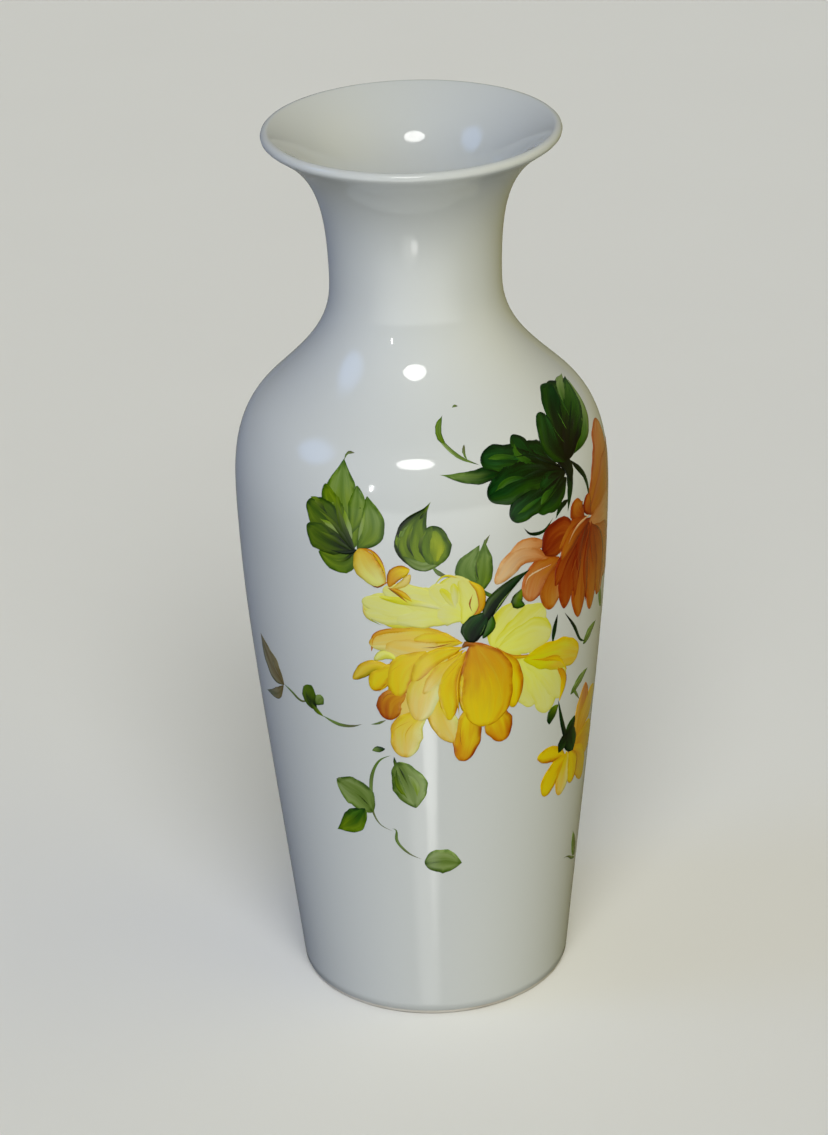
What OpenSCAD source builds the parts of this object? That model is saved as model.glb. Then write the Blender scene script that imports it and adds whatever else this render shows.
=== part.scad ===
// Baluster flower vase of cast porcelain: a thin wall on a turned foot ring, a clear glaze outside,
// inside and under the foot, and a spray of flowers in raised overglaze enamel.
// Millimetres. Z is the vase's axis, the foot ring stands on z = 0 and the flowers face -Y.

/* [Overall size] */
// Height from the table to the top of the lip
vase_h = 305; // [295:1:330]
// Diameter of the mouth over the rounded lip
mouth_d = 96.4; // [88:0.1:110]
// Smallest outside diameter, at the neck
neck_d = 56.2; // [50:0.1:64]
// Largest outside diameter, high on the body
belly_d = 124; // [116:0.1:132]
// Outside diameter where the wall meets the table
foot_d = 92.4; // [80:0.1:102]

/* [Heights, as shares of the vase's height] */
// Height of the widest place
belly_at = 0.602; // [0.58:0.001:0.61]
// Height at which the shoulder turns from convex to concave
shoulder_at = 0.714; // [0.705:0.001:0.725]
// Height of the narrowest place
neck_at = 0.831; // [0.82:0.001:0.84]

/* [Curves] */
// Diameter at the shoulder's turning point
shoulder_d = 98.6; // [92:0.1:104]
// Lean of the shoulder's turning point from vertical, in degrees
shoulder_lean = 47; // [40:1:52]
// Outward lean of the wall at the table, as run over rise
foot_lean = 0.09; // [0:0.01:0.15]
// Outward lean of the mouth just under the lip, in degrees from vertical
mouth_lean = 57; // [40:1:65]

/* [Wall] */
// Wall thickness with both glazes, at the foot
wall_low = 5; // [4.5:0.1:6]
// Thickness of the rounded lip with its glaze
lip_t = 3.4; // [3:0.1:4]
// Thickness of the floor with both glazes
floor_t = 5.6; // [5:0.1:8]
// Radius between the floor and the wall inside
floor_fillet = 9; // [6:0.5:12]
// Length of the straight stretch inside the neck
throat_len = 10; // [6:1:12]

/* [Foot ring] */
// Width of the ring that stands on the table
ring_w = 6; // [5:0.5:8]
// Depth of the recess under the floor
recess_h = 6; // [4:0.5:8]
// Rounding of the ring's two edges
ring_edge = 1.2; // [0.8:0.1:1.5]
// Height of the bare, wiped band above the table
bare_h = 1.8; // [1.6:0.1:2.4]

/* [Coats] */
// Thickness of the glaze
glaze_t = 0.35; // [0.3:0.05:0.5]
// Height of the raised enamel above the glaze
enamel_t = 0.2; // [0.15:0.05:0.3]

/* [Hidden] */
$fn = 96;

// Straight bands that follow each stretch of the profile: body, shoulder, neck, mouth
BANDS = [12, 7, 7, 10];
// Steps along each side of a petal and along a stem
SIDE_STEPS = 8;
// Steps around each half of the lip
LIP_STEPS = 5;
// Range of heights that the flowers cover, with room to spare
SPRAY_Z = [20, 236];
// Distance from the axis at which every enamel outline starts
OUTLINE_IN = 25;
// Length of every enamel outline, from there out past the wall
OUTLINE_OUT = 60;

belly_z = belly_at * vase_h;
shoulder_z = shoulder_at * vase_h;
neck_z = neck_at * vase_h;
lip_r = lip_t / 2;
lip_centre = [mouth_d / 2 - lip_r, vase_h - lip_r];
lip_start = lip_centre + lip_r * [cos(mouth_lean), -sin(mouth_lean)];
floor_z = recess_h + floor_t;
throat_r = neck_d / 2 - wall_at(0.75);
ring_inner_r = foot_d / 2 - ring_w;

// Reach of each curve's handles, as shares of the height
foot_reach = 0.16;
belly_reach = [0.185, 0.066];
shoulder_reach = [0.032, 0.061];
neck_reach = [0.047, 0.093];
lip_reach = 0.061;

// Directions of travel, foot to lip
upward = [0, 1];
shoulder_dir = [-sin(shoulder_lean), cos(shoulder_lean)];
mouth_dir = [sin(mouth_lean), cos(mouth_lean)];

foot_p = [foot_d / 2, 0];
belly_p = [belly_d / 2, belly_z];
shoulder_p = [shoulder_d / 2, shoulder_z];
neck_p = [neck_d / 2, neck_z];

// The outside profile: four cubic curves, each [start, start handle, end handle, end]
CURVES = [
    [foot_p,
     foot_p + vase_h * foot_reach * [foot_lean, 1],
     belly_p - vase_h * belly_reach[0] * upward,
     belly_p],
    [belly_p,
     belly_p + vase_h * belly_reach[1] * upward,
     shoulder_p - vase_h * shoulder_reach[0] * shoulder_dir,
     shoulder_p],
    [shoulder_p,
     shoulder_p + vase_h * shoulder_reach[1] * shoulder_dir,
     neck_p - vase_h * neck_reach[0] * upward,
     neck_p],
    [neck_p,
     neck_p + vase_h * neck_reach[1] * upward,
     lip_start - vase_h * lip_reach * mouth_dir,
     lip_start]
];

function cubic(p, t) =
    pow(1 - t, 3) * p[0] + 3 * t * pow(1 - t, 2) * p[1] + 3 * t * t * (1 - t) * p[2] + pow(t, 3) * p[3];
function along(v) = v / norm(v);
function cubic_dir(p, t) =
    along(pow(1 - t, 2) * (p[1] - p[0]) + 2 * t * (1 - t) * (p[2] - p[1]) + t * t * (p[3] - p[2]));
function reversed(list) = [for (i = [len(list) - 1:-1:0]) list[i]];
// Points strictly between the two ends of an arc
function arc(centre, r, from, to, steps) = [
    for (i = [1:steps - 1])
        let (a = from + (to - from) * i / steps)
        centre + r * [cos(a), sin(a)]
];
// Wall thickness at a share of the way from foot to lip
function wall_at(share) = wall_low + (lip_t - wall_low) * share;

// Stations along the outside: [point, outward normal, share of the way up]
STATIONS = [
    for (c = [0:3])
        for (i = [(c == 0 ? 0 : 1):BANDS[c]])
            let (t = i / BANDS[c], d = cubic_dir(CURVES[c], t))
            [cubic(CURVES[c], t), [d[1], -d[0]], (c + t) / 4]
];
// Radius of a surface at a height, from the surface's points
function radius_at(points, z) = lookup(z, [for (p = points) [p[1], p[0]]]);
// The points of a surface above a height, starting exactly at it
function above(points, z) = concat([[radius_at(points, z), z]], [for (p = points) if (p[1] > z) p]);
// The outside surface moved into the wall by a depth
function skin(depth) = [for (s = STATIONS) s[0] - depth * s[1]];
// The inside surface of the wall, or a surface a little way into the wall from it
function lining(into_wall) =
    let (raw = [for (s = STATIONS) s[0] - (wall_at(s[2]) - into_wall) * s[1]],
         half = throat_len / 2,
         r = throat_r + into_wall)
    concat([for (p = raw) if (p[1] < neck_z - half) p],
           [[r, neck_z - half], [r, neck_z + half]],
           [for (p = raw) if (p[1] > neck_z + half) p]);
// The inside of the vase, from the middle of the floor up to the lip
function inside(into_wall) =
    let (wall = above(lining(into_wall), floor_z + floor_fillet),
         r = floor_fillet + into_wall,
         centre = [wall[0][0] - r, floor_z + floor_fillet])
    concat([[0, centre[1] - r], [centre[0], centre[1] - r]], arc(centre, r, -90, 0, 6), wall);
// The lip's crown, and the points of its outer and inner halves on each side of it
function crown(r) = [lip_centre + [0, r]];
function lip_outer(r) = concat(arc(lip_centre, r, -mouth_lean, 90, LIP_STEPS), crown(r));
function lip_inner(r) = concat(crown(r), arc(lip_centre, r, 90, 180 - mouth_lean, LIP_STEPS));

// ---- Ceramic ----

// The fired casting: wall, floor and foot ring, bare where the glaze leaves it
module porcelain_body() {
    outer = above(skin(glaze_t), bare_h);
    ring_r = radius_at(skin(glaze_t), ring_edge);
    color([0.93, 0.92, 0.89])
        rotate_extrude()
            polygon(concat(
                outer,
                lip_outer(lip_r - glaze_t),
                arc(lip_centre, lip_r - glaze_t, 90, 180 - mouth_lean, LIP_STEPS),
                reversed(inside(glaze_t)),
                [[0, recess_h + glaze_t], [ring_inner_r, recess_h + glaze_t], [ring_inner_r, ring_edge]],
                arc([ring_inner_r + ring_edge, ring_edge], ring_edge, 180, 270, 4),
                [[ring_inner_r + ring_edge, 0], [ring_r - ring_edge, 0]],
                arc([ring_r - ring_edge, ring_edge], ring_edge, -90, 0, 4),
                [[ring_r, ring_edge]]
            ));
}

// Glaze over the outside, from the bare band up to the crown of the lip
module glaze_outside() {
    color([0.86, 0.88, 0.87])
        rotate_extrude()
            polygon(concat(
                above(skin(0), bare_h),
                lip_outer(lip_r),
                reversed(concat(above(skin(glaze_t), bare_h), lip_outer(lip_r - glaze_t)))
            ));
}

// Glaze over the inside, from the crown of the lip down the wall and across the floor
module glaze_inside() {
    color([0.87, 0.88, 0.85])
        rotate_extrude()
            polygon(concat(
                lip_inner(lip_r),
                reversed(inside(0)),
                inside(glaze_t),
                reversed(lip_inner(lip_r - glaze_t))
            ));
}

// Glaze under the floor, inside the foot ring
module glaze_base() {
    color([0.86, 0.87, 0.85])
        translate([0, 0, recess_h])
            cylinder(r = ring_inner_r, h = glaze_t);
}

// ---- Enamel: how an outline becomes a raised film on the wall ----

// The whole thickness of the enamel, all round the wall
module film() {
    spray = [for (s = STATIONS) if (s[0][1] > SPRAY_Z[0] && s[0][1] < SPRAY_Z[1]) s];
    rotate_extrude()
        polygon(concat(
            [for (s = spray) s[0] + enamel_t * s[1]],
            reversed([for (s = spray) s[0]])
        ));
}

// The first child's outline as enamel, less the outlines of the children painted over it
module enamel() {
    difference() {
        intersection() {
            film();
            children(0);
        }
        if ($children > 1)
            children([1:$children - 1]);
    }
}

// Carries an outline out through the wall: a is the angle round from the front, z the height
module on_wall(a, z, turn = 0) {
    rotate([0, 0, a])
        translate([0, -OUTLINE_IN, z])
            rotate([90, turn, 0])
                linear_extrude(OUTLINE_OUT)
                    children();
}

// A petal or leaf from its base: turn is clockwise from straight up, full moves the widest place
// towards the tip (over 1) or the base (under 1), and blunt rounds its ends (small) or points them (1)
module petal(a, z, len, wide, turn, full = 1.3, blunt = 0.6) {
    half = [for (i = [0:SIDE_STEPS]) let (t = i / SIDE_STEPS)
                [wide / 2 * pow(max(0, sin(180 * pow(t, full))), blunt), len * t]];
    left = [for (i = [SIDE_STEPS - 1:-1:1]) [-half[i][0], half[i][1]]];
    on_wall(a, z, turn)
        polygon(concat(half, left));
}

// A stem from (a, z) along a cubic curve whose other points are offsets in millimetres, right and up
module stem(a, z, bend_1, bend_2, end, w0 = 1.4, w1 = 0.8) {
    path = [[0, 0], bend_1, bend_2, end];
    rows = [for (i = [0:SIDE_STEPS])
                let (t = i / SIDE_STEPS, d = cubic_dir(path, t))
                [cubic(path, t), [d[1], -d[0]] * (w0 + (w1 - w0) * t) / 2]];
    on_wall(a, z)
        polygon(concat([for (r = rows) r[0] + r[1]], reversed([for (r = rows) r[0] - r[1]])));
}

// ---- Enamel outlines ----

module peony_back_outline() {
    petal(11, 163, 32, 16, -91, full = 1.5);
    petal(12, 155, 19, 17, -14, full = 1.5);
    petal(16, 156, 16, 9, 8, full = 1.4);
    petal(17, 149, 28, 20, 80, full = 1.3);
    petal(22, 148, 38, 19, 140, full = 1.5);
    petal(29, 140, 31, 12, 101, full = 1.4);
}

module peony_front_outline() {
    petal(13, 150, 31, 12, -88, full = 1.3);
    petal(13, 148, 33, 14, -118, full = 1.2);
    petal(-10, 140, 15, 6.5, -98, full = 1.2);
    petal(-9, 142, 14, 7, -145, full = 1.3);
    petal(-4, 134, 17, 10, -142, full = 1.4);
    petal(8, 146, 28, 14, -150, full = 1.2);
    petal(-1, 126, 20, 11, -157, full = 1.3);
    petal(10, 144, 33, 12, -173, full = 1.3);
    petal(15, 126, 23, 11, -164, full = 1.5);
    petal(18, 149, 32, 15, 160, full = 1.3);
    petal(22, 127, 18, 10.5, 172, full = 1.4);
    petal(14, 150, 33, 22, 171, full = 1.3);
}

module peony_calyx_outline() {
    petal(15.5, 149, 12, 8.5, -8, full = 1);
    petal(19, 149, 12, 5, 8, full = 1);
    stem(17, 156, [3, 6], [9, 9], [17, 16], w0 = 4.5, w1 = 1.4);
    stem(24, 166, [-3, -1], [-6, 1], [-8, 4], w0 = 1.6, w1 = 1.2);
    petal(29, 159.5, 6, 5, 10);
}

module bud_petals_outline() {
    petal(-11.5, 170.5, 17, 9.5, -31, full = 1.3);
    petal(-9, 169.5, 9, 6.5, 20, full = 1.4);
    stem(-12, 172, [2, -2], [5, -3], [8, -6], w0 = 1.4, w1 = 2);
}

module three_lobed_leaf_outline() {
    petal(-20.5, 183, 30, 14, -13, full = 0.9, blunt = 0.8);
    petal(-21, 184, 22, 9, -47, full = 1.1);
    petal(-20.5, 182.5, 18, 9, -73, full = 1.1);
    petal(-20.5, 183.5, 13, 8, -114, full = 1.1);
    petal(-21, 184, 20, 9, 2, full = 1.2);
    petal(-20, 183.5, 19, 9.5, 16, full = 1, blunt = 0.8);
}

module green_bud_outline() {
    petal(1, 178.5, 18, 10, -20, full = 1.1);
    petal(0, 178.5, 13, 9, -45, full = 1.2);
    petal(3, 178.5, 14.5, 11, 4, full = 1.1);
    stem(-3, 193, [2, 2], [4, 4], [6, 8], w0 = 3, w1 = 0.5);
    stem(3, 179.5, [1, -2], [2, -3], [4.5, -5], w0 = 1.2, w1 = 1.4);
}

module small_pointed_leaf_outline() {
    petal(17.5, 169, 13, 6.5, -43, full = 1);
    petal(18, 168, 17, 8, -5, full = 1, blunt = 0.8);
    stem(15.5, 181, [1, 2], [2, 4], [4, 6.5], w0 = 3, w1 = 0.5);
    stem(18, 169, [0, -1], [1, -2], [3, -3], w0 = 1.2, w1 = 1);
}

module red_flower_inner_outline() {
    petal(51, 184, 16, 13.5, -113, full = 1.3);
    petal(53, 181, 9, 8, 4, full = 1.2);
    petal(59, 181, 33, 13, -162, full = 1.3);
    petal(62, 181, 37, 13, 178, full = 1.4);
    petal(57, 178, 24, 11, -140, full = 1.4);
    petal(66, 180, 36, 12, 168, full = 1.3);
}

module red_flower_outer_outline() {
    petal(44, 176, 25, 9.5, -98, full = 1.3);
    petal(45, 172, 19, 10, -131, full = 1.4);
    petal(48, 167, 15, 9, -142, full = 1.4);
    petal(66, 176, 33, 14, 4, full = 1.3);
    petal(71, 177, 33, 15, 24, full = 1.3);
    petal(73, 174, 29, 15, 62, full = 1.3);
    petal(72, 171, 30, 14, 102, full = 1.3);
    petal(70, 170, 30, 13, 138, full = 1.4);
}

module red_flower_stems_outline() {
    stem(52, 204, [0, -6], [-1, -10], [-3, -17], w0 = 4.5, w1 = 3);
    stem(52, 203, [5, -2], [9, -8], [9, -21], w0 = 2, w1 = 1.4);
    stem(31, 187.5, [3, -5], [8, -5], [12, 1], w0 = 0.6, w1 = 1.2);
    stem(45, 151.5, [0, -4], [-1, -7], [-2, -11], w0 = 2.2, w1 = 1.8);
    stem(47, 151, [4, -4], [8, -14], [17, -18], w0 = 1.2, w1 = 1.2);
}

module dark_leaf_cluster_outline() {
    petal(50, 203, 33, 10, -95, full = 1.5);
    petal(49, 204, 33, 9, -74, full = 1.5);
    petal(42, 202, 16, 9, -38, full = 1.4);
    petal(51, 203, 15, 8, -52, full = 1.2);
    petal(50, 199, 26, 10.5, -112, full = 1.6);
    petal(50, 199, 17, 10.5, -125, full = 1.3);
    petal(22, 206.5, 17, 4.5, -88, full = 0.9, blunt = 0.8);
}

module upright_leaf_outline() {
    petal(48, 203, 22, 13, 38, full = 1.1);
    petal(52, 203, 33, 15, 62, full = 0.9, blunt = 0.8);
}

module upper_tendril_outline() {
    stem(20, 209, [-4, 1], [-12, 6], [-10, 13], w0 = 0.8, w1 = 1.6);
    stem(8.5, 222, [-2, -1], [-3, -3], [-2.5, -5], w0 = 0.6, w1 = 2.6);
    stem(14.5, 211, [0.5, 1], [0.5, 2], [0, 4], w0 = 1, w1 = 0.5);
}

module left_vine_stem_outline() {
    stem(-54, 124, [3, 0], [6, -3], [9, -3], w0 = 1.2, w1 = 0.8);
    stem(-45.5, 121, [1, 0.5], [2, 1], [3.5, 1], w0 = 0.8, w1 = 1.2);
    stem(-42, 122, [1, -1], [3, -3], [5, -4.5], w0 = 1.6, w1 = 2);
    stem(-36, 118, [5, -2], [9, -2], [14, 0.5], w0 = 1.4, w1 = 0.8);
    stem(-19.5, 119, [2, 0.5], [4, 1], [5.5, 2], w0 = 0.8, w1 = 1);
}

module left_vine_leaves_outline() {
    petal(-54, 124, 18, 8.5, -47, full = 0.9, blunt = 0.8);
    petal(-54.5, 124, 17, 4, -118, full = 1.1, blunt = 0.8);
    petal(-39, 119, 10, 6, -22, full = 1.1);
    petal(-38.5, 121.5, 5, 4, 35, full = 1.1);
}

module lower_vine_stem_outline() {
    stem(-13, 107.5, [-6, -3], [-9, -12], [-8, -22], w0 = 1.2, w1 = 1);
    stem(-21, 86, [0, -4], [2, -8], [8, -8.5], w0 = 1.2, w1 = 0.9);
    stem(-13, 78.5, [-0.5, -4], [2, -10], [9, -13], w0 = 1.2, w1 = 0.8);
    stem(-19, 108.5, [1, 0.5], [2, 1], [4, 1.5], w0 = 1.6, w1 = 1.8);
}

module lower_vine_leaves_outline() {
    petal(-12, 106.5, 20, 12, 159, full = 1, blunt = 0.7);
    petal(-20.5, 85, 17, 10, -53, full = 1, blunt = 0.7);
    petal(-24.5, 85, 16, 6.5, -139, full = 1, blunt = 0.8);
    petal(-3.5, 65, 14, 9, 94, full = 0.9, blunt = 0.7);
}

module blossom_petals_outline() {
    petal(52, 94, 14, 6.5, -76, full = 1.2);
    petal(51, 93, 15, 9, -150, full = 1.3);
    petal(54, 93, 17, 12, 174, full = 1.3);
    petal(58, 93, 22, 10, 139, full = 1.3);
    petal(60, 99, 19, 10, 26, full = 1.2);
    petal(62, 96, 18, 10, 78, full = 1.2);
}

module blossom_calyx_outline() {
    petal(59, 94, 12, 9, -38, full = 1.1);
    petal(61, 97, 11, 8, -78, full = 1.1);
    petal(58, 95, 11, 6, -8, full = 1, blunt = 0.8);
    stem(47.5, 117, [0.5, -5], [3, -10], [7, -14], w0 = 1.8, w1 = 2.6);
    petal(46, 117, 7.5, 6, -158, full = 1.1);
}

module side_leaves_outline() {
    petal(60, 133.5, 11, 5, 73, full = 1, blunt = 0.8);
    petal(54, 117, 13, 5, 70, full = 1, blunt = 0.8);
    stem(56, 118, [1, -2], [3, -4], [5, -7], w0 = 1, w1 = 1.2);
    petal(77, 139, 13, 4.5, -20, full = 1, blunt = 0.8);
    petal(74, 43, 14, 5.5, -24, full = 1, blunt = 0.8);
    stem(76, 41, [-3, 1], [-8, 3], [-13, 7], w0 = 1, w1 = 0.6);
}

module rear_sprig_outline() {
    stem(96, 172, [8, 4], [16, 0], [22, -9], w0 = 1.6, w1 = 0.8);
    petal(104, 173.5, 15, 8, 24, full = 1, blunt = 0.7);
    petal(108, 171, 15, 7.5, 128, full = 1, blunt = 0.7);
    petal(117, 163, 15, 7, 112, full = 1, blunt = 0.8);
    stem(93, 150, [7, -5], [10, -14], [19, -14], w0 = 1.4, w1 = 0.7);
    petal(99, 141, 14, 7, 172, full = 1, blunt = 0.7);
    petal(110, 136, 13, 6.5, 66, full = 1, blunt = 0.8);
}

// ---- Enamel nodes ----

module peony_back_petals() {
    color([0.84, 0.82, 0.38])
        enamel() {
            peony_back_outline();
            peony_front_outline();
            peony_calyx_outline();
            bud_petals_outline();
            small_pointed_leaf_outline();
        }
}

module peony_front_petals() {
    color([0.84, 0.66, 0.06])
        enamel() {
            peony_front_outline();
            peony_calyx_outline();
        }
}

module peony_calyx() {
    color([0.08, 0.18, 0.08])
        enamel() {
            peony_calyx_outline();
            small_pointed_leaf_outline();
        }
}

module bud_petals() {
    color([0.84, 0.64, 0.28])
        enamel() {
            bud_petals_outline();
            three_lobed_leaf_outline();
        }
}

module three_lobed_leaf() {
    color([0.28, 0.4, 0.1])
        enamel()
            three_lobed_leaf_outline();
}

module green_bud() {
    color([0.35, 0.47, 0.08])
        enamel()
            green_bud_outline();
}

module small_pointed_leaf() {
    color([0.38, 0.5, 0.25])
        enamel()
            small_pointed_leaf_outline();
}

module red_flower_inner_petals() {
    color([0.5, 0.16, 0.04])
        enamel() {
            red_flower_inner_outline();
            red_flower_stems_outline();
        }
}

module red_flower_outer_petals() {
    color([0.76, 0.47, 0.3])
        enamel() {
            red_flower_outer_outline();
            red_flower_inner_outline();
            red_flower_stems_outline();
            peony_calyx_outline();
            peony_back_outline();
            upright_leaf_outline();
        }
}

module red_flower_stems() {
    color([0.08, 0.17, 0.08])
        enamel() {
            red_flower_stems_outline();
            dark_leaf_cluster_outline();
            upright_leaf_outline();
            peony_back_outline();
            side_leaves_outline();
        }
}

module dark_leaf_cluster() {
    color([0.08, 0.24, 0.08])
        enamel() {
            dark_leaf_cluster_outline();
            upright_leaf_outline();
        }
}

module upright_leaf() {
    color([0.07, 0.18, 0.07])
        enamel()
            upright_leaf_outline();
}

module upper_tendril() {
    color([0.42, 0.52, 0.28])
        enamel() {
            upper_tendril_outline();
            dark_leaf_cluster_outline();
        }
}

module left_vine_stem() {
    color([0.36, 0.42, 0.38])
        enamel() {
            left_vine_stem_outline();
            left_vine_leaves_outline();
            peony_front_outline();
        }
}

module left_vine_leaves() {
    color([0.34, 0.36, 0.26])
        enamel()
            left_vine_leaves_outline();
}

module lower_vine_stem() {
    color([0.38, 0.46, 0.32])
        enamel() {
            lower_vine_stem_outline();
            lower_vine_leaves_outline();
            peony_front_outline();
        }
}

module lower_vine_leaves() {
    color([0.42, 0.52, 0.27])
        enamel() {
            lower_vine_leaves_outline();
            peony_front_outline();
        }
}

module blossom_petals() {
    color([0.72, 0.58, 0.08])
        enamel() {
            blossom_petals_outline();
            blossom_calyx_outline();
            side_leaves_outline();
        }
}

module blossom_calyx() {
    color([0.12, 0.2, 0.1])
        enamel() {
            blossom_calyx_outline();
            peony_back_outline();
        }
}

module side_leaves() {
    color([0.32, 0.36, 0.26])
        enamel() {
            side_leaves_outline();
            red_flower_outer_outline();
        }
}

module rear_sprig() {
    color([0.3, 0.38, 0.22])
        enamel() {
            rear_sprig_outline();
            red_flower_outer_outline();
        }
}

porcelain_body();
glaze_outside();
glaze_inside();
glaze_base();
peony_back_petals();
peony_front_petals();
peony_calyx();
bud_petals();
three_lobed_leaf();
green_bud();
small_pointed_leaf();
red_flower_inner_petals();
red_flower_outer_petals();
red_flower_stems();
dark_leaf_cluster();
upright_leaf();
upper_tendril();
left_vine_stem();
left_vine_leaves();
lower_vine_stem();
lower_vine_leaves();
blossom_petals();
blossom_calyx();
side_leaves();
rear_sprig();
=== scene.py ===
import math
import random

import bpy
import numpy as np
from mathutils import Matrix, Vector


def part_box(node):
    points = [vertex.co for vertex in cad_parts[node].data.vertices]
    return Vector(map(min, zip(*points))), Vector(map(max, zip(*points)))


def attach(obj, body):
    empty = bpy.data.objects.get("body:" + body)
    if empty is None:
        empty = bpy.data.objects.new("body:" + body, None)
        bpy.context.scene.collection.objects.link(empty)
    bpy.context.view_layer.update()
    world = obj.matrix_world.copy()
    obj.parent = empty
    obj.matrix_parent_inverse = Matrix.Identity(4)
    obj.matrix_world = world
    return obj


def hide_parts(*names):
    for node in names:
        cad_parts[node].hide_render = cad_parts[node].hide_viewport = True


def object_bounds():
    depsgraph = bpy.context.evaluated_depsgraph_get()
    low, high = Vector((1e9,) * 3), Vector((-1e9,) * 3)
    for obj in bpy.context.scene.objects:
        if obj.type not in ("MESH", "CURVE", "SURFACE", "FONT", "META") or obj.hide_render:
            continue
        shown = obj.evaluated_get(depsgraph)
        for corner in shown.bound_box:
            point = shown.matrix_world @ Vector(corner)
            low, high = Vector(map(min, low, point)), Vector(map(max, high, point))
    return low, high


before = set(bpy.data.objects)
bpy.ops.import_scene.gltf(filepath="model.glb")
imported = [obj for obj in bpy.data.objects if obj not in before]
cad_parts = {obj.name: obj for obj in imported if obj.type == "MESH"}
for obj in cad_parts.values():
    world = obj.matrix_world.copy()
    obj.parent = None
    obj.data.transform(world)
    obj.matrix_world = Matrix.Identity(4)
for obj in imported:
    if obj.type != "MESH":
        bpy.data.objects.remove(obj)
cad_low, cad_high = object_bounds()
HEIGHT = cad_high.z - cad_low.z
SHOULDER = 0.7 * HEIGHT
MM = 0.001
BLACK, WHITE = (0, 0, 0, 1), (1, 1, 1, 1)

# ---- Camera: a long lens looking down at the front, rolled a little ----

CAMERA_LENS_MM = 111.0
CAMERA_SENSOR_MM = 36.0
CAMERA_BACK = 3.492 * HEIGHT
CAMERA_UP = 2.166 * HEIGHT
CAMERA_PITCH = math.radians(25.67)
CAMERA_YAW = math.radians(-0.19)
CAMERA_ROLL = math.radians(-1.84)

# ---- Light: the world is what the glaze reflects; its lower half is what a lit table gives back ----

WORLD_LEFT = (0.045, 0.055, 0.10, 1)
WORLD_RIGHT = (0.09, 0.075, 0.02, 1)
WORLD_FRONT = (0.12, 0.12, 0.12, 1)
WORLD_TOP = (0.16, 0.165, 0.165, 1)
BELOW_LEFT = (0.16, 0.18, 0.235, 1)
BELOW_RIGHT = (0.20, 0.18, 0.05, 1)
BELOW_FRONT = (1.66, 1.70, 1.65, 1)
STRAIGHT_DOWN = (0.03, 0.03, 0.028, 1)
WORLD_PATCHES = (           # azimuth, elevation, inner and outer radius in degrees, colour
    (-82, 33, 6, 15, (0.9, 1.5, 2.9, 1)),
    (85, 25, 5, 45, (0.26, 0.22, 0.05, 1)),
    (0, -38.8, 1.5, 5.5, (3.2, 3.2, 3.1, 1)),
    (-7, -39, 2, 11, (1.3, 1.3, 1.27, 1)),
)
HIGHLIGHT_LAMPS = (         # name, azimuth, elevation, metres away, wide and high, watts, colour, shape
    ("ceiling_lamp", -4.4, 45.5, 1.9, 0.68, 0.42, 8.0, (1.0, 0.985, 0.96), "ELLIPSE"),
    ("far_lamp", -31, 15, 2.4, 0.08, 0.26, 2.2, (1.0, 1.0, 1.0), "RECTANGLE"),
)
SOFT_SUNS = (               # name, strength, degrees wide, degrees from overhead, turn, colour
    ("wash", 2.12, 34, 41, 2, (1.0, 1.0, 0.985)),
    ("warm_side", 0.24, 60, 62, 75, (1.0, 0.88, 0.25)),
    ("back_fill", 1.8, 50, -110, 0, (1.0, 1.0, 1.0)),
)
TABLE_HALF = 6.0            # metres from the middle of the table to its edge
TABLE_TONES = ((0.80, 0.797, 0.765, 1), (0.78, 0.777, 0.745, 1))

# ---- Ceramic ----

AROUND = 192                # segments round the lathe
RING_STEP = 2.8 * MM        # distance between rings along the profile
STRAIGHT = math.radians(1.5)    # a station that bends the profile less than this is left out
LEAST_LEAN = 0.02           # a face that looks outwards, or inwards, less than this is on neither side
RING_EDGE = 1.2 * MM        # rounding of the foot ring's edges and of the base glaze's rim
QUARTER = [math.radians(a) for a in range(0, 91, 15)]
GLAZE_TONES = ((0.56, 0.585, 0.58, 1), (0.585, 0.605, 0.595, 1))
SPECK = (0.22, 0.20, 0.17, 1)
BISQUE_TONES = ((0.66, 0.63, 0.57, 1), (0.50, 0.46, 0.40, 1))
BISQUE_GRAIN = (0.40, 0.36, 0.30, 1)
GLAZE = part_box("glaze_outside")[1].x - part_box("porcelain_body")[1].x

# ---- Enamel ----

CELL = 0.8 * MM             # about the size of a film's mesh cells
HALF_ROWS = 0.55            # half the mesh rows in one cell of a stroke's length
HALF_COLUMNS = 0.4          # half the mesh columns in one cell of its width
TRACK_STEP = 0.4            # mm between the points that a stroke's length is measured on
FILM = 0.05 * MM            # height of one brush stroke
LAYER = 0.006 * MM          # each stroke lies this much above the one before
SUNK = 0.03 * MM            # how far a film's edge lies in the glaze; its underside is twice as deep
SOFT_EDGE = 0.6             # mm over which a film rises from its edge, less on a narrow stroke
RIM = (0.3, 2.2)            # least and greatest width in mm of the darker rim
DEGREE_MM = 1.05            # one degree round the painted wall, in millimetres
GLAZE_WHITE = (0.575, 0.60, 0.585, 1)   # what shows through the thinnest paint
WHITE_SHOWN = 199           # display value that the bare glaze comes out at
VEIL = 0.026                # how much light the gloss adds over every paint, linear
TINT_RANGE = (0.003, 1.15)  # least and greatest that a tint may be of the bare glaze
SHEEN = 0.24                # specular level of the enamel
DARK_SLOTS = ("enamel_dark_green", "enamel_red_brown")

BROWN_OUTLINE = (0.62, 0.57, 0.36, 1)   # a petal's paint is multiplied by this along its rim
GREEN_OUTLINE = (0.50, 0.62, 0.50, 1)   # and a leaf's by this

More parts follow.
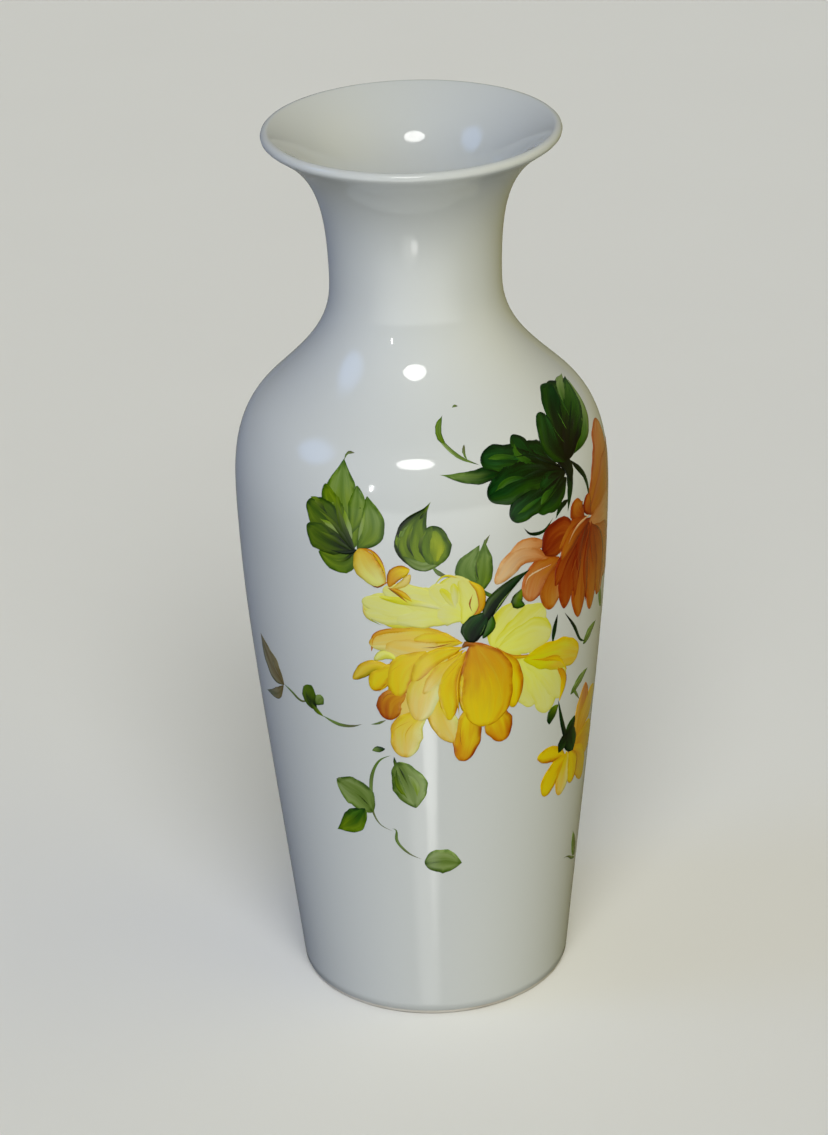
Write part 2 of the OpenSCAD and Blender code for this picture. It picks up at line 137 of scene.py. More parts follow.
PAINT = {                   # display colours of the enamels at their usual thickness
    "lemon": (214, 211, 106), "straw": (207, 203, 112), "lime": (200, 194, 44),
    "gold": (210, 184, 6), "amber": (196, 142, 4), "rust": (168, 98, 4), "umber": (120, 74, 12),
    "peach": (220, 182, 94), "cream": (230, 212, 150), "ochre": (204, 174, 70),
    "olive": (108, 128, 34), "moss": (88, 108, 18), "bark": (54, 62, 10), "leaf": (116, 138, 52),
    "bright": (140, 150, 22), "sage": (116, 136, 80), "mist": (156, 170, 116), "reed": (122, 138, 84),
    "teal": (104, 126, 66), "forest": (38, 64, 36), "pine": (24, 50, 24), "fern": (62, 90, 46),
    "black green": (14, 36, 16), "slate": (116, 118, 90), "smoke": (134, 122, 92),
    "brick": (152, 76, 20), "wine": (132, 60, 8), "clay": (172, 104, 50), "coral": (186, 122, 76),
    "blush": (210, 168, 122), "rose": (172, 110, 80),
}


# ---- Shader helpers ----

class Tree:
    """Builds a node tree: values that are sockets are linked, others are set."""

    def __init__(self, owner):
        owner.use_nodes = True
        self.tree = owner.node_tree
        self.tree.nodes.clear()

    def add(self, kind, inputs=(), **settings):
        node = self.tree.nodes.new("ShaderNode" + kind)
        for name, value in settings.items():
            setattr(node, name, value)
        for key, value in dict(inputs).items():
            self.feed(node.inputs[key], value)
        return node

    def feed(self, socket, value):
        if isinstance(value, bpy.types.NodeSocket):
            self.tree.links.new(value, socket)
        else:
            socket.default_value = value

    def math(self, operation, a, b=0.0, clamp=False):
        return self.add("Math", {0: a, 1: b}, operation=operation, use_clamp=clamp).outputs[0]

    def remap(self, value, low, high, to_low=0.0, to_high=1.0):
        """value from low..high to to_low..to_high, smoothly and clamped."""
        node = self.add("MapRange", {"Value": value, "From Min": low, "From Max": high,
                                     "To Min": to_low, "To Max": to_high},
                        interpolation_type="SMOOTHSTEP")
        return node.outputs["Result"]

    def mix(self, factor, a, b, blend="MIX"):
        node = self.add("Mix", data_type="RGBA", blend_type=blend)
        self.feed(node.inputs[0], factor)
        self.feed(node.inputs[6], a)
        self.feed(node.inputs[7], b)
        return node.outputs[2]

    def noise(self, vector, scale, detail=2.0, roughness=0.5):
        node = self.add("TexNoise", {"Vector": vector, "Scale": scale, "Detail": detail,
                                     "Roughness": roughness})
        return node.outputs["Fac"]

    def surface(self, **inputs):
        shader = self.add("BsdfPrincipled", {k.replace("_", " "): v for k, v in inputs.items()})
        self.add("OutputMaterial", {"Surface": shader.outputs[0]})
        return shader


def new_material(name):
    material = bpy.data.materials.new(name)
    return material, Tree(material)


def linear(red, green, blue):
    """A display colour, each part 0 to 255, as the linear colour that shaders use."""
    def part(c):
        c = c / 255
        return c / 12.92 if c <= 0.04045 else ((c + 0.055) / 1.055) ** 2.4
    return (part(red), part(green), part(blue), 1.0)


def glaze_material(name):
    material, t = new_material(name)
    place = t.add("TexCoord").outputs["Object"]
    cloud = t.noise(place, 14.0, 3.0)
    colour = t.mix(cloud, *GLAZE_TONES)
    cells = t.add("TexVoronoi", {"Vector": place, "Scale": 70.0})
    dot = t.remap(cells.outputs["Distance"], 0.03, 0.05, 1.0, 0.0)
    rare = t.remap(t.add("SeparateColor", {"Color": cells.outputs["Color"]}).outputs[0], 0.965, 0.975)
    speck = t.math("MULTIPLY", t.math("MULTIPLY", dot, rare), 0.55)
    colour = t.mix(speck, colour, SPECK)
    wave = t.noise(place, 55.0, 2.0)
    peel = t.noise(place, 420.0, 1.0)
    relief = t.math("ADD", wave, t.math("MULTIPLY", peel, 0.05))
    bump = t.add("Bump", {"Strength": 0.35, "Distance": 0.15 * MM, "Height": relief})
    rough = t.remap(t.noise(place, 30.0, 2.0), 0.3, 0.7, 0.045, 0.08)
    t.surface(Base_Color=colour, Roughness=rough, IOR=1.52, Normal=bump.outputs[0])
    return material


def bisque_material(name):
    material, t = new_material(name)
    place = t.add("TexCoord").outputs["Object"]
    grain = t.noise(place, 900.0, 4.0, 0.7)
    stain = t.noise(place, 60.0, 3.0)
    colour = t.mix(t.remap(stain, 0.35, 0.75), *BISQUE_TONES)
    colour = t.mix(t.math("MULTIPLY", grain, 0.25), colour, BISQUE_GRAIN)
    bump = t.add("Bump", {"Strength": 0.5, "Distance": 0.05 * MM, "Height": grain})
    t.surface(Base_Color=colour, Roughness=0.75, Normal=bump.outputs[0])
    return material


def enamel_material(name, roughness, relief, outline):
    """Clear paint over white: its colour deepens with how thickly it lies and along its rim. The
    point attributes of a Painting say where each stroke begins and ends and how it was loaded."""
    material, t = new_material(name)

    def attribute(kind):
        return t.add("Attribute", attribute_name=kind, attribute_type="GEOMETRY").outputs

    def parts(kind):
        return t.add("SeparateXYZ", {0: attribute(kind)["Vector"]}).outputs

    def scaled(vector, scale):
        return t.add("VectorMath", {0: vector, 1: scale}, operation="MULTIPLY").outputs[0]

    across, along, edge = parts("place")
    thick_base, thick_tip, streak = parts("load")
    rim, side, middle = parts("finish")
    brush = attribute("brush")["Vector"]
    fine = t.noise(scaled(brush, (1.7, 0.11, 1.0)), 1.0, 3.0, 0.6)
    broad = t.noise(scaled(brush, (0.5, 0.09, 1.0)), 1.0, 1.0)
    pool = t.noise(brush, 0.35, 2.0)

    wander = t.math("MULTIPLY", t.math("SUBTRACT", broad, 0.5), 0.9)
    tint = t.mix(t.remap(t.math("ADD", along, wander), 0.1, 0.95),
                 attribute("tint_base")["Color"], attribute("tint_tip")["Color"])
    lean = t.math("ADD", t.math("MULTIPLY", across, side), t.math("MULTIPLY", wander, 0.9))
    tint = t.mix(t.remap(lean, 0.05, 0.85), tint, attribute("tint_side")["Color"])

    load = t.add("Mix", {0: t.remap(along, 0.0, 1.0), 2: thick_base, 3: thick_tip}).outputs[0]
    marks = t.math("ADD", t.math("MULTIPLY", t.math("SUBTRACT", fine, 0.5), 1.5),
                   t.math("MULTIPLY", t.math("SUBTRACT", broad, 0.5), 2.4))
    load = t.math("ADD", load, t.math("MULTIPLY", marks, streak))
    at_rim = t.remap(edge, 0.0, 1.0, 1.0, 0.0)
    near_rim = t.math("MULTIPLY", at_rim, t.remap(pool, 0.3, 0.62, 0.25, 1.25))
    load = t.math("ADD", load, t.math("MULTIPLY", near_rim, rim))
    near_middle = t.remap(t.math("ABSOLUTE", across), 0.0, 0.35, 1.0, 0.0)
    load = t.math("MAXIMUM", t.math("ADD", load, t.math("MULTIPLY", near_middle, middle)), 0.05)
    colour = t.add("Gamma", {"Color": tint, "Gamma": load}).outputs[0]
    drawn = t.math("MULTIPLY", near_rim, rim, clamp=True)
    colour = t.mix(1.0, colour, t.mix(drawn, WHITE, outline), "MULTIPLY")
    colour = t.mix(1.0, colour, GLAZE_WHITE, "MULTIPLY")
    bump = t.add("Bump", {"Strength": relief, "Distance": 0.03 * MM, "Height": fine})
    t.surface(Base_Color=colour, Roughness=roughness, Specular_IOR_Level=SHEEN, Normal=bump.outputs[0])
    return material


# ---- Mesh helpers ----

def mesh_object(name, points, faces, material, node_names, slot):
    """A new piece that stands for CAD nodes and rides on the vase."""
    mesh = bpy.data.meshes.new(name)
    mesh.from_pydata([tuple(p) for p in points], [], faces)
    mesh.validate()
    mesh.materials.append(material)
    mesh.shade_smooth()
    piece = bpy.data.objects.new(name, mesh)
    bpy.context.scene.collection.objects.link(piece)
    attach(piece, "root")
    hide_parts(*node_names)
    return piece


def lathe(profile):
    """Points and faces of a profile turned round Z. The profile is a loop of (radius, height); a
    radius of 0 is a pole."""
    points, rings, faces = [], [], []
    for radius, height in profile:
        if radius < 1e-7:
            rings.append([len(points)])
            points.append((0.0, 0.0, height))
            continue
        rings.append(list(range(len(points), len(points) + AROUND)))
        for k in range(AROUND):
            turn = 2 * math.pi * k / AROUND
            points.append((radius * math.sin(turn), -radius * math.cos(turn), height))
    for lower, upper in zip(rings, rings[1:] + rings[:1]):
        if len(lower) == 1 and len(upper) == 1:
            continue
        for k in range(AROUND):
            n = (k + 1) % AROUND
            if len(lower) == 1:
                faces.append((lower[0], upper[n], upper[k]))
            elif len(upper) == 1:
                faces.append((lower[k], lower[n], upper[0]))
            else:
                faces.append((lower[k], lower[n], upper[n], upper[k]))
    return points, faces


def stations(node, facing):
    """The (radius, height) stations of a turned CAD node's outside (facing 1) or inside (facing -1)."""
    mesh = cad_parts[node].data
    found = {}
    for face in mesh.polygons:
        away = Vector(face.center.xy)
        if away.length < MM or face.normal.xy.dot(away) * facing < LEAST_LEAN * away.length:
            continue
        for index in face.vertices:
            v = mesh.vertices[index].co
            found[round(v.z, 5)] = (math.hypot(v.x, v.y), v.z)
    points = [np.array(found[z]) for z in sorted(found)]
    kept = [points[0]]
    for here, after in zip(points[1:], points[2:]):
        before = math.atan2(*(here - kept[-1]))
        if abs(math.atan2(*(after - here)) - before) > STRAIGHT:
            kept.append(here)
    return np.array(kept + [points[-1]])


def smooth_curve(points, step):
    """Points about a step apart along a Catmull-Rom curve through the given ones."""
    ends = [2 * points[0] - points[1], 2 * points[-1] - points[-2]]
    p = np.vstack([ends[0], points, ends[1]])
    knots = np.concatenate([[0], np.cumsum(np.sqrt(np.linalg.norm(np.diff(p, axis=0), axis=1)))])
    made = [points[0]]
    for i in range(1, len(p) - 2):
        t0, t1, t2, t3 = knots[i - 1:i + 3]
        count = max(1, round(np.linalg.norm(p[i + 1] - p[i]) / step))
        for t in np.linspace(t1, t2, count + 1)[1:]:
            a1 = ((t1 - t) * p[i - 1] + (t - t0) * p[i]) / (t1 - t0)
            a2 = ((t2 - t) * p[i] + (t - t1) * p[i + 1]) / (t2 - t1)
            a3 = ((t3 - t) * p[i + 1] + (t - t2) * p[i + 2]) / (t3 - t2)
            b1 = ((t2 - t) * a1 + (t - t0) * a2) / (t2 - t0)
            b2 = ((t3 - t) * a2 + (t - t1) * a3) / (t3 - t1)
            made.append(((t2 - t) * b1 + (t - t1) * b2) / (t2 - t1))
    return np.array(made)


def offset(curve, depth):
    """A curve moved to the left of its direction of travel by a depth."""
    way = np.gradient(curve, axis=0)
    way /= np.linalg.norm(way, axis=1)[:, None]
    return curve + depth * np.stack([-way[:, 1], way[:, 0]], axis=1)


# ---- Ceramic pieces ----

OUTSIDE = smooth_curve(stations("glaze_outside", 1), RING_STEP)
INSIDE = smooth_curve(stations("glaze_inside", -1), RING_STEP)
GLAZED = np.vstack([OUTSIDE, INSIDE[::-1][1:]])     # up the outside, over the lip, down the inside
BACKING = offset(GLAZED, GLAZE)                     # where that glaze meets the porcelain
FLOOR_Z = INSIDE[0][1]
RECESS_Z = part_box("glaze_base")[0].z                # underside of the glaze in the foot's recess
RING_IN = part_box("glaze_base")[1].x                 # inner and outer radius of the foot ring
RING_OUT = BACKING[0][0]


def make_clear_glaze():
    """The glaze of the wall and the inside, one thin skin that ends just above the foot."""
    foot_r, foot_z = OUTSIDE[0]
    skin = [*GLAZED, (0.0, FLOOR_Z), (0.0, FLOOR_Z - GLAZE), *BACKING[::-1]]
    skin.append((foot_r - 0.3 * GLAZE, foot_z - 0.25 * GLAZE))
    mesh_object("clear_glaze", *lathe(skin), glaze_material("clear_glaze"),
                ["glaze_outside", "glaze_inside"], "clear_glaze")


def make_porcelain():
    """The casting under the glaze; only its foot ring is bare."""
    body = [(0.0, RECESS_Z + GLAZE), (RING_IN, RECESS_Z + GLAZE)]
    body += [(RING_IN + RING_EDGE * (1 - math.cos(a)), RING_EDGE * (1 - math.sin(a))) for a in QUARTER]
    body += [(RING_OUT - RING_EDGE * (1 - math.sin(a)), RING_EDGE * (1 - math.cos(a))) for a in QUARTER]
    body += [*BACKING, (0.0, FLOOR_Z - GLAZE)]
    mesh_object("porcelain_casting", *lathe(body), bisque_material("bare_porcelain"),
                ["porcelain_body"], "bare_porcelain")


def make_base_glaze():
    """The disc of glaze in the foot's recess, with a rounded rim."""
    flat = RING_IN - RING_EDGE
    disc = [(0.0, RECESS_Z), (flat, RECESS_Z)]
    disc += [(RING_IN - RING_EDGE * (1 - math.sin(a)), RECESS_Z - RING_EDGE * (1 - math.cos(a)))
             for a in QUARTER[1:]]
    disc += [(RING_IN, RECESS_Z + GLAZE), (0.0, RECESS_Z + GLAZE)]
    mesh_object("base_glaze", *lathe(disc), glaze_material("base_glaze"), ["glaze_base"], "clear_glaze")


# ---- The wall that the enamel lies on ----

def wall_point(angle, height, lift):
    """A place on the outside wall: degrees round from the front, millimetres up, metres out of it."""
    z = height * MM
    radius = np.interp(z, OUTSIDE[:, 1], OUTSIDE[:, 0])
    slope = (np.interp(z + MM, OUTSIDE[:, 1], OUTSIDE[:, 0])
             - np.interp(z - MM, OUTSIDE[:, 1], OUTSIDE[:, 0])) / (2 * MM)
    size = np.sqrt(1 + slope ** 2)
    turn = np.radians(angle)
    r = radius + lift / size
    return np.stack([r * np.sin(turn), -r * np.cos(turn), z - lift * slope / size], axis=-1)


# ---- Painting ----

def tint(name):
    """A paint's colour relative to the bare glaze, linear."""
    white = linear(WHITE_SHOWN, WHITE_SHOWN, WHITE_SHOWN)[0] - VEIL
    least, most = TINT_RANGE
    return [min(most, max(least, (c - VEIL) / white)) for c in linear(*PAINT[name])[:3]] + [1.0]


class Look:
    """How a brush was loaded: colours at the start, end and one side, thickness and finish."""

    def __init__(self, base, tip=None, side=None, lean=0.0, load=(1.0, 1.0), streak=0.35, rim=0.35,
                 middle=0.0):
        self.base, self.tip = base, tip or base
        self.side, self.lean = side or base, lean
        self.load, self.streak, self.rim, self.middle = load, streak, rim, middle


def thin(base, tip, start=1.0, end=1.0, streak=0.35):
    """A fine brush's load: one colour going over into another, start to end thick, and no rim."""
    return Look(base, tip, load=(start, end), streak=streak, rim=0.0)


class Painting:
    """One enamel piece: many strokes, each a thin closed film that lies on the wall. Each stroke
    lies a LAYER higher than the one before; level is how many layers the first one starts above."""

    def __init__(self, node, slot, level=0):
        self.node, self.slot, self.level = node, slot, level
        self.random = random.Random(node)
        self.points, self.faces = [], []
        self.data = {"place": [], "brush": [], "load": [], "finish": [],
                     "tint_base": [], "tint_tip": [], "tint_side": []}

    def wobble(self, s, amount):
        """A few slow random waves along a stroke."""
        total = np.zeros_like(s)
        for waves, weight in ((1.3, 0.9), (2.6, 0.7), (4.7, 0.45)):
            total += weight * np.sin(2 * math.pi * (waves * s + self.random.random()))
        return 1 + amount * total

    def line(self, spine, wide, look, full=0.5, base=1.0, tip=1.2):
        """A thin mark that tapers to a point at both ends."""
        self.stroke(spine, wide, look, full, base, tip)

    def stroke(self, spine, wide, look, full=0.6, base=0.8, tip=0.5, wave=0.05, right=None):
        """Paint along a spine of (degrees, mm) places. wide is its width in mm (or its left part's
        double, with right as the other's); full is where it is widest; base and tip are 0.5 for a
        round end, 1 for a pointed one and more for a drawn-out one. wave is how much its edges wander."""
        self.level += 1
        right = right or wide
        track = smooth_curve(np.array(spine, float) * (DEGREE_MM, 1.0), TRACK_STEP)
        run = np.concatenate([[0], np.cumsum(np.linalg.norm(np.diff(track, axis=0), axis=1))])
        length = run[-1]
        rows = max(8, 2 * round(HALF_ROWS * length * MM / CELL))
        columns = max(4, 2 * round(HALF_COLUMNS * max(wide, right) * MM / CELL))
        s = (1 - np.cos(np.linspace(0, math.pi, rows + 1))) / 2
        x = np.interp(s * length, run, track[:, 0])
        y = np.interp(s * length, run, track[:, 1])
        way = np.stack([np.gradient(x, s * length), np.gradient(y, s * length)], axis=1)
        way /= np.linalg.norm(way, axis=1)[:, None]
        rising = np.sin(np.clip(s / full, 0, 1) * math.pi / 2) ** base
        falling = np.cos(np.clip((s - full) / (1 - full), 0, 1) * math.pi / 2) ** tip
        shape = np.where(s < full, rising, falling)
        shape[0] = shape[-1] = 0
        left_half = shape * wide / 2 * self.wobble(s, wave)
        right_half = shape * right / 2 * self.wobble(s, wave)
        v = np.sin(np.linspace(-math.pi / 2, math.pi / 2, columns + 1))
        half = np.where(v > 0, left_half[:, None], right_half[:, None])
        px = x[:, None] - way[:, 1][:, None] * v * half
        py = y[:, None] + way[:, 0][:, None] * v * half
        edge = np.minimum(half * (1 - np.abs(v)), np.minimum(s, 1 - s)[:, None] * length)
        edge = np.maximum(edge, 0)
        soft = min(SOFT_EDGE, 0.3 * min(wide, right))
        rise = np.sqrt(1 - (1 - np.clip(edge / soft, 0, 1)) ** 2)
        top = self.level * LAYER + FILM
        lift = -SUNK + (top + SUNK) * rise
        rim_width = np.clip(0.32 * min(wide, right), *RIM)
        seed = self.random.uniform(0, 300)
        size = (length, max(wide, 1.0))
        self.add_film(px / DEGREE_MM, py, lift, s, v, edge / rim_width, size, seed, look)

    def add_film(self, angle, height, lift, s, v, edge, size, seed, look):
        """The closed mesh of one stroke: a top, and an underside that shares its outline. s runs
        along the stroke from 0 to 1 and v across it from -1 to 1."""
        length, wide = size
        upper = wall_point(angle, height, lift)
        lower = wall_point(angle, height, np.full_like(lift, -2 * SUNK))
        rows, columns = len(s) - 1, len(v) - 1
        sides = ((upper, 0), (lower, 1))
        index = np.zeros((2, rows + 1, columns + 1), int)
        tints = [tint(look.base), tint(look.tip), tint(look.side)]
        for surface, under in sides:
            for i in range(rows + 1):
                for j in range(columns + 1):
                    if i in (0, rows) and (j or under):
                        index[under, i, j] = index[0, i, 0]
                        continue
                    if under and j in (0, columns):
                        index[under, i, j] = index[0, i, j]
                        continue
                    index[under, i, j] = len(self.points)
                    self.points.append(surface[i, j])
                    across = 0.0 if i in (0, rows) else v[j]
                    self.data["place"].append((across, s[i], edge[i, j]))
                    self.data["brush"].append((across * wide / 2, s[i] * length, seed))
                    self.data["load"].append((*look.load, look.streak))
                    self.data["finish"].append((look.rim, look.lean, look.middle))
                    for kind, colour in zip(("tint_base", "tint_tip", "tint_side"), tints):
                        self.data[kind].append(colour)
        for under in (0, 1):
            for i in range(rows):
                for j in range(columns):
                    corners = [index[under, i, j], index[under, i + 1, j],
                               index[under, i + 1, j + 1], index[under, i, j + 1]]
                    corners = [int(c) for k, c in enumerate(corners) if c not in corners[:k]]
                    self.faces.append(tuple(corners[::-1] if under else corners))

    def done(self):
        """Make the piece, with each stroke's values stored on its points for the enamel shader."""
        piece = mesh_object(self.node + "_painting", self.points, self.faces, enamel(self.slot),
                            [self.node], self.slot)
        for name, values in self.data.items():
            kind = "FLOAT_COLOR" if name.startswith("tint") else "FLOAT_VECTOR"
            store = piece.data.attributes.new(name, kind, "POINT")
            field = "color" if kind == "FLOAT_COLOR" else "vector"
            store.data.foreach_set(field, np.array(values, np.float32).ravel())


ENAMELS = {}


def enamel(slot):
    """The one material of an enamel slot. Dark paints are glossier and show their brush marks more."""
    if slot not in ENAMELS:
        roughness, relief = (0.10, 0.5) if slot in DARK_SLOTS else (0.13, 0.35)
        outline = GREEN_OUTLINE if "green" in slot else BROWN_OUTLINE
        ENAMELS[slot] = enamel_material(slot + "_brushed", roughness, relief, outline)
    return ENAMELS[slot]


# ---- How the brush is loaded for each kind of petal, leaf and line ----

PALE = Look("lemon", "straw", "lime", 0.6, (1.05, 0.85), 0.26, 0.16)
GOLDEN = Look("gold", "gold", "amber", 0.7, (1.05, 0.9), 0.34, 0.6)
AMBER = Look("gold", "amber", "rust", 0.6, (1.0, 1.0), 0.34, 0.55)
RUST = Look("amber", "rust", "amber", 0.6, (1.0, 1.0), 0.3, 0.5)
PEACH = Look("gold", "peach", "cream", 0.7, (1.0, 0.9), 0.34, 0.55)
FOLD = Look("amber", "gold", "rust", 0.6, (1.1, 0.95), 0.25, 0.3)
LINE = thin("umber", "rust", 1.0, 0.75, streak=0.25)
GREEN_LEAF = Look("moss", "olive", "leaf", 0.5, (1.15, 0.95), 0.35, 0.6, 0.25)
PALE_LEAF = Look("olive", "sage", "leaf", 0.6, (1.1, 0.95), 0.32, 0.6, 0.25)
GREY_LEAF = Look("reed", "reed", "mist", 0.6, (1.3, 1.0), 0.34, 0.7, 0.3)
DARK_LEAF = Look("pine", "forest", "fern", 0.6, (1.0, 0.9), 0.34, 0.3, 0.1)
VEIN = thin("bark", "moss", 1.05, 0.75, streak=0.3)
GLINT = thin("reed", "leaf", 0.8, 0.9, streak=0.3)
TWIG = Look("sage", "slate", load=(1.35, 1.15), streak=0.3, rim=0.1)
DARK_TWIG = Look("pine", "forest", load=(1.0, 0.95), streak=0.3, rim=0.1)
RED = Look("wine", "brick", "clay", 0.45, (1.15, 1.0), 0.35, 0.35)
RED_FADING = Look("brick", "clay", "wine", 0.5, (1.15, 0.95), 0.35, 0.35)
CORAL = Look("clay", "coral", "rose", 0.6, (1.05, 0.95), 0.30, 0.40)
BLUSH = Look("coral", "blush", "coral", 0.4, (0.95, 0.8), 0.28, 0.45)


# ---- Motifs: places are (degrees round from the front, millimetres up), in painting order ----

def leaf(p, base, tip, wide, look, bend):
    """A pointed leaf with a midrib and a pale mark. bend moves its middle to the left of its way."""
    base, tip = np.array(base, float), np.array(tip, float)
    way = tip - base
    left = np.array([-way[1], way[0]]) / np.linalg.norm(way)
    middle = (base + tip) / 2 + bend * left
    p.stroke([base, middle, tip], wide, look, 0.42, 0.7, 1.2, 0.06)
    p.line([base, middle, middle + 0.72 * (tip - middle)], max(0.8, 0.14 * wide), VEIN, 0.3, 1.0, 1.7)
    p.line([middle - 0.3 * way + 0.12 * wide * left, middle + 0.2 * wide * left],
           0.22 * wide, GLINT, 0.5, 1.0, 1.0)


def paint_three_lobed_leaf():
    p = Painting("three_lobed_leaf", "enamel_leaf_green")
    p.stroke([(-20.5, 182.4), (-26, 178.6), (-33, 180.6)], 8.6, GREEN_LEAF, 0.45, 0.6, 0.7)
    p.stroke([(-21, 184), (-25, 198), (-26.4, 211.6)], 14, PALE_LEAF, 0.5, 0.7, 1.0)
    p.stroke([(-22, 188), (-27.5, 197), (-31.4, 203.6)], 7.4, GREEN_LEAF, 0.6, 0.8, 0.6)
    p.stroke([(-22, 188), (-20, 197), (-20.4, 204.6)], 6.6, PALE_LEAF, 0.6, 0.8, 0.7)
    p.stroke([(-20, 183.5), (-15.4, 191), (-17, 201.8)], 8.6, PALE_LEAF, 0.5, 0.8, 0.9)
    shaded = Look("bark", "moss", "olive", 0.5, (1.0, 1.0), 0.4, 0.5, 0.2)
    p.stroke([(-22, 184), (-30, 192.5), (-37, 197)], 11, shaded, 0.7, 0.8, 0.5, 0.08)
    p.stroke([(-22, 183), (-29.5, 185), (-37, 189)], 10.4, shaded, 0.6, 0.8, 0.6, 0.07)
    p.line([(-29, 193.6), (-33, 197.6), (-36, 198.6)], 2.6, VEIN, 0.6, 0.9, 0.9)
    p.line([(-22, 185.5), (-27, 190), (-33, 192.4)], 2.6, GLINT, 0.6, 1.2, 1.0)
    p.line([(-21.3, 186.5), (-23, 192), (-24.2, 197)], 2.8, GLINT, 0.5, 1.2, 1.0)
    p.line([(-19.8, 186), (-18.4, 192), (-17.4, 198)], 1.6, GLINT, 0.5, 1.2)
    p.line([(-20.5, 182.5), (-24.8, 192), (-27.4, 204)], 3.4, VEIN, 0.35, 1.0, 1.6)
    p.line([(-21, 183), (-27.5, 191.5), (-34.5, 196)], 2.4, VEIN, 0.35, 1.0, 1.6)
    p.line([(-21, 182.8), (-28, 186.5), (-34.6, 188.6)], 2.2, VEIN, 0.35, 1.0, 1.6)
    p.line([(-19.6, 183.6), (-24, 182), (-30.6, 182.2)], 1.8, thin("pine", "bark"), 0.25, 0.8, 1.6)
    p.line([(-21, 182.4), (-25, 179), (-29, 178.8)], 1.4, VEIN, 0.3, 1.0, 1.6)
    p.line([(-26.2, 211), (-25.8, 213), (-23, 213.4)], 0.9, TWIG, 0.5, 1.0, 1.0)
    p.done()


def paint_bud_petals():
    p = Painting("bud_petals", "enamel_golden", 30)
    p.stroke([(-19.3, 184.2), (-17.2, 178), (-12.5, 171.5)], 8.8,
             Look("ochre", "straw", "amber", 0.55, (1.0, 0.8), 0.2, 0.35), 0.5, 0.5)
    p.line([(-10.8, 171), (-8.6, 176), (-4.4, 177.8)], 5.0, FOLD, 0.6, 0.8, 0.6)
    p.stroke([(-10.5, 170.5), (-6.4, 172.6), (-4.3, 176)], 2.8, Look("ochre", "peach", load=(0.9, 0.7)))
    p.line([(-20, 184.3), (-15.6, 183.6), (-12.6, 179), (-11.4, 174)], 1.3, FOLD)
    p.line([(-11.6, 171.2), (-7.8, 169.8), (-3.6, 166)], 2.4, FOLD, 0.6, 1.0, 0.8)
    p.line([(-16.5, 171.7), (-14.2, 171.1), (-12.2, 172.4), (-10.2, 173.4)], 0.9, LINE, 0.5, 1.0, 1.0)
    p.line([(-11.6, 171.4), (-8, 168.6), (-4.6, 165.2)], 0.8, LINE, 0.5, 1.0, 1.0)
    p.done()


def paint_green_bud():
    p = Painting("green_bud", "enamel_leaf_green")
    p.stroke([(1, 178.6), (-3.2, 184.6), (-2.6, 192), (2.4, 200.6)], 11.4,
             Look("olive", "moss", "bark", 0.5, (1.1, 1.1), 0.4, 0.6), 0.4, 0.6, 1.7)
    p.stroke([(-7.6, 184), (-7.6, 188), (-3.4, 194.6)], 2.4, PALE_LEAF, 0.5, 0.8, 1.0)
    p.stroke([(-6.4, 182.6), (-1, 178.8), (5.4, 180.4)], 4.0, GREY_LEAF, 0.5, 0.7)
    p.stroke([(2.6, 178.8), (3.2, 186), (2.4, 192.7)], 10.4,
             Look("olive", "moss", "leaf", 0.5, (1.1, 1.0), 0.35, 0.6), 0.48, 0.5)
    p.stroke([(3.4, 180), (4, 186), (3.2, 191.4)], 5.6,
             Look("bright", "olive", "olive", 0.6, (0.95, 1.0), 0.4, 0.2), 0.5, 0.5)
    p.line([(0.2, 180.6), (-1, 186.5), (1.6, 192.6)], 1.7, VEIN, 0.5, 0.9)
    p.line([(-2.6, 181), (-4.6, 187), (-2.6, 194)], 1.3, VEIN)
    p.line([(-1.2, 194.6), (0.4, 197), (2.6, 200.6)], 1.2, VEIN, 0.3)
    p.line([(2.2, 178.6), (4.4, 175.9), (7.2, 174.4)], 1.7, TWIG, 0.5, 1.0, 1.0)
    p.done()


def paint_small_pointed_leaf():
    p = Painting("small_pointed_leaf", "enamel_leaf_green")
    p.stroke([(16.4, 170), (12.4, 176), (16.6, 184.6)], 7.4,
             Look("teal", "sage", "teal", 0.4, (1.1, 0.9), 0.3, 0.5, 0.2), 0.42, 0.7, 1.0)
    p.stroke([(17, 168), (17.8, 175.5), (18.2, 186.4)], 6.8, PALE_LEAF, 0.38, 0.6, 1.3)
    p.line([(16.4, 171), (15.4, 177), (17, 183.4)], 1.1, VEIN, 0.3, 1.0, 1.4)
    p.line([(17.8, 183), (18.6, 185.4), (20, 187.6)], 1.2, TWIG, 0.4)
    p.stroke([(17.4, 168.6), (19.4, 166), (23.4, 165.2)], 1.6,
             Look("fern", "leaf", rim=0.1), 0.5, 0.9, 1.2)
    p.done()


